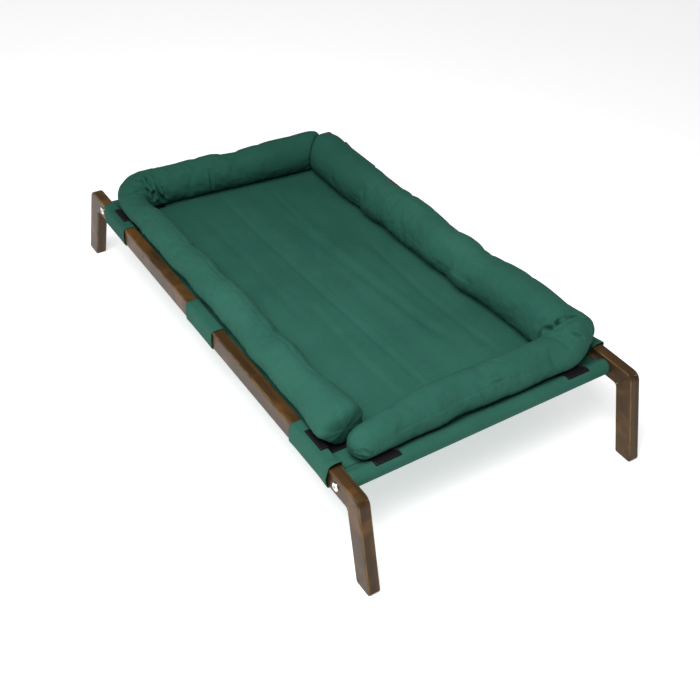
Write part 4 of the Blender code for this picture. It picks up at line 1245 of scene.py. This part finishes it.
# Each crease: places along the bolster with angles round it, how deep it is and how wide.
BOLSTER_CREASES = {
    "left": (
        (((1.96, 102), (1.85, 127), (1.80, 150), (1.87, 185)), 0.0145, 0.0034),
        (((2.00, 110), (2.015, 143), (2.02, 176), (2.06, 215)), 0.0145, 0.0034),
        (((2.035, 128), (2.045, 157), (2.05, 190)), 0.0085, 0.0030),
        (((2.07, 80), (2.10, 132)), 0.0080, 0.0030),
        (((1.915, 108), (1.93, 140), (1.95, 180)), -0.0038, 0.0055),
        (((1.71, 104), (1.70, 135), (1.75, 170)), -0.0030, 0.0060),
        (((1.62, 100), (1.60, 130), (1.66, 170)), 0.0095, 0.0036),
        (((1.36, 112), (1.42, 140), (1.50, 180)), 0.0070, 0.0040),
        (((1.13, 74), (1.08, 104), (1.22, 138)), 0.0045, 0.0040),
        (((2.304, 140), (2.300, 178), (2.306, 215)), 0.0055, 0.0032),
        (((0.86, 22), (0.875, 4)), 0.0060, 0.0030),
        (((0.028, 10), (0.021, -11)), 0.0040, 0.0028),
    ),
    "right": (
        (((1.47, 112), (1.387, 95), (1.323, 82), (1.28, 66), (1.275, 54)), 0.0105, 0.0040),
        (((1.60, 150), (1.50, 122), (1.42, 103), (1.35, 88)), 0.0120, 0.0046),
        (((1.62, 128), (1.50, 98), (1.43, 84), (1.39, 70)), -0.0042, 0.0080),
        (((1.14, 55), (1.20, 75), (1.28, 98)), 0.0060, 0.0120),
        (((1.673, 78), (1.648, 59), (1.614, 40)), 0.0070, 0.0034),
        (((1.275, 48), (1.30, 30), (1.36, 14), (1.35, -12)), 0.0070, 0.0040),
        (((1.55, 150), (1.52, 178), (1.50, 205)), 0.0090, 0.0040),
        (((2.981, 24), (2.945, -10)), 0.0050, 0.0028),
        (((2.950, -16), (2.937, 22)), 0.0050, 0.0028),
        (((2.905, -6), (2.831, 2)), 0.0048, 0.0028),
        (((2.67, 31), (2.61, 24)), 0.0042, 0.0028),
        (((2.50, 25), (2.44, 30)), 0.0044, 0.0028),
        (((2.38, 39), (2.31, 37)), 0.0046, 0.0028),
        (((2.325, 104), (2.298, 92)), 0.0044, 0.0030),
    ),
}
for side, plan in BOLSTERS.items():
    route = Route(plan)
    bolster = piece(f"stuffed_bolster_{side}", bolster_tube(route))
    settle(bolster, "REMESH", mode="VOXEL", voxel_size=VOXEL, use_smooth_shade=True)
    blow_up(bolster, route)
    settle(bolster, "SMOOTH", factor=0.5, iterations=2)
    settle(bolster, "SUBSURF", levels=1, render_levels=1)
    normals = read_vertices(bolster.data, "normal")
    points = crumple(read_vertices(bolster.data), normals, route, BOLSTER_SEAMS[side])
    for line, depth, half_width in BOLSTER_CREASES[side]:
        points = crease(points, normals, on_skin(route, line), depth, half_width)
    points[:, 2] = np.maximum(points[:, 2], seat_height(points[:, 0], points[:, 1]))
    put_points(bolster.data, points)
    unwrap(bolster.data, route)
    bolster.data.shade_smooth()
    bolster.data.materials.clear()
    bolster.data.materials.append(canvas)
    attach(bolster, f"bolster_{side}")
    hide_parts(f"bolster_{side}")


# Soft patches. Eight small black rectangles of loop pile sewn under the bolsters, which press onto
# the hook patches and hold the bolsters down.


def loop_pile():
    """Black brushed pile."""
    material, start = new_finish("black loop pile", {"Sheen Weight": 0.5, "Sheen Roughness": 0.6})
    pile = start.place().noise(1300.0, 3.0, 0.7)
    return finished(material, {
        "Base Color": pile.rising(0.3, 0.7).between((0.005, 0.005, 0.006), (0.028, 0.027, 0.030)),
        "Roughness": 0.85 + pile * 0.12,
        "Normal": pile.bump(0.8, 0.0006),
    })


soft_pile = loop_pile()
for name, node in nodes.items():
    if name.startswith("soft_patch"):
        wear_finish(node, soft_pile)


# Floor and light. A pale seamless floor, a bright room all round, and one broad soft light above the
# foot end's left corner.

FLOOR_SIZE = 14.0
PLAIN_WHITE = (1.0, 1.0, 1.0, 1.0)
ROOM_LIGHT = 0.27
FLOOR_GLOW = 0.56
KEY_POWER = 41.0
KEY_SIZE = 1.2
KEY_PLACE = Vector((0.60, -0.90, 1.85))
KEY_AIM = Vector((0.1, -0.1, 0.1))


pale_floor = speckled(
    "pale floor",
    {"Specular IOR Level": 0.2, "Emission Color": PLAIN_WHITE, "Emission Strength": FLOOR_GLOW},
    (1.2, 2.0, 0.5), ((0.82, 0.82, 0.82), (0.86, 0.86, 0.86)), (0.9, 0.05),
)
floor_mesh = bpy.data.meshes.new("floor")
floor_corners = [
    (x * FLOOR_SIZE / 2, y * FLOOR_SIZE / 2, 0) for x, y in ((-1, -1), (1, -1), (1, 1), (-1, 1))
]
floor_mesh.from_pydata(floor_corners, [], [(0, 1, 2, 3)])
floor_mesh.materials.append(pale_floor)
floor = piece("floor", floor_mesh)

room = bpy.data.worlds.new("bright room")
room.use_nodes = True
background = room.node_tree.nodes["Background"].inputs
background["Color"].default_value = PLAIN_WHITE
background["Strength"].default_value = ROOM_LIGHT
studio.world = room

lamp = bpy.data.lights.new("key light", "AREA")
lamp.size = KEY_SIZE
lamp.energy = KEY_POWER
light = piece("key light", lamp)
light.location = KEY_PLACE
light.rotation_euler = (KEY_AIM - KEY_PLACE).to_track_quat("-Z", "Y").to_euler()
studio.view_settings.view_transform = "Standard"
studio.view_settings.look = "None"
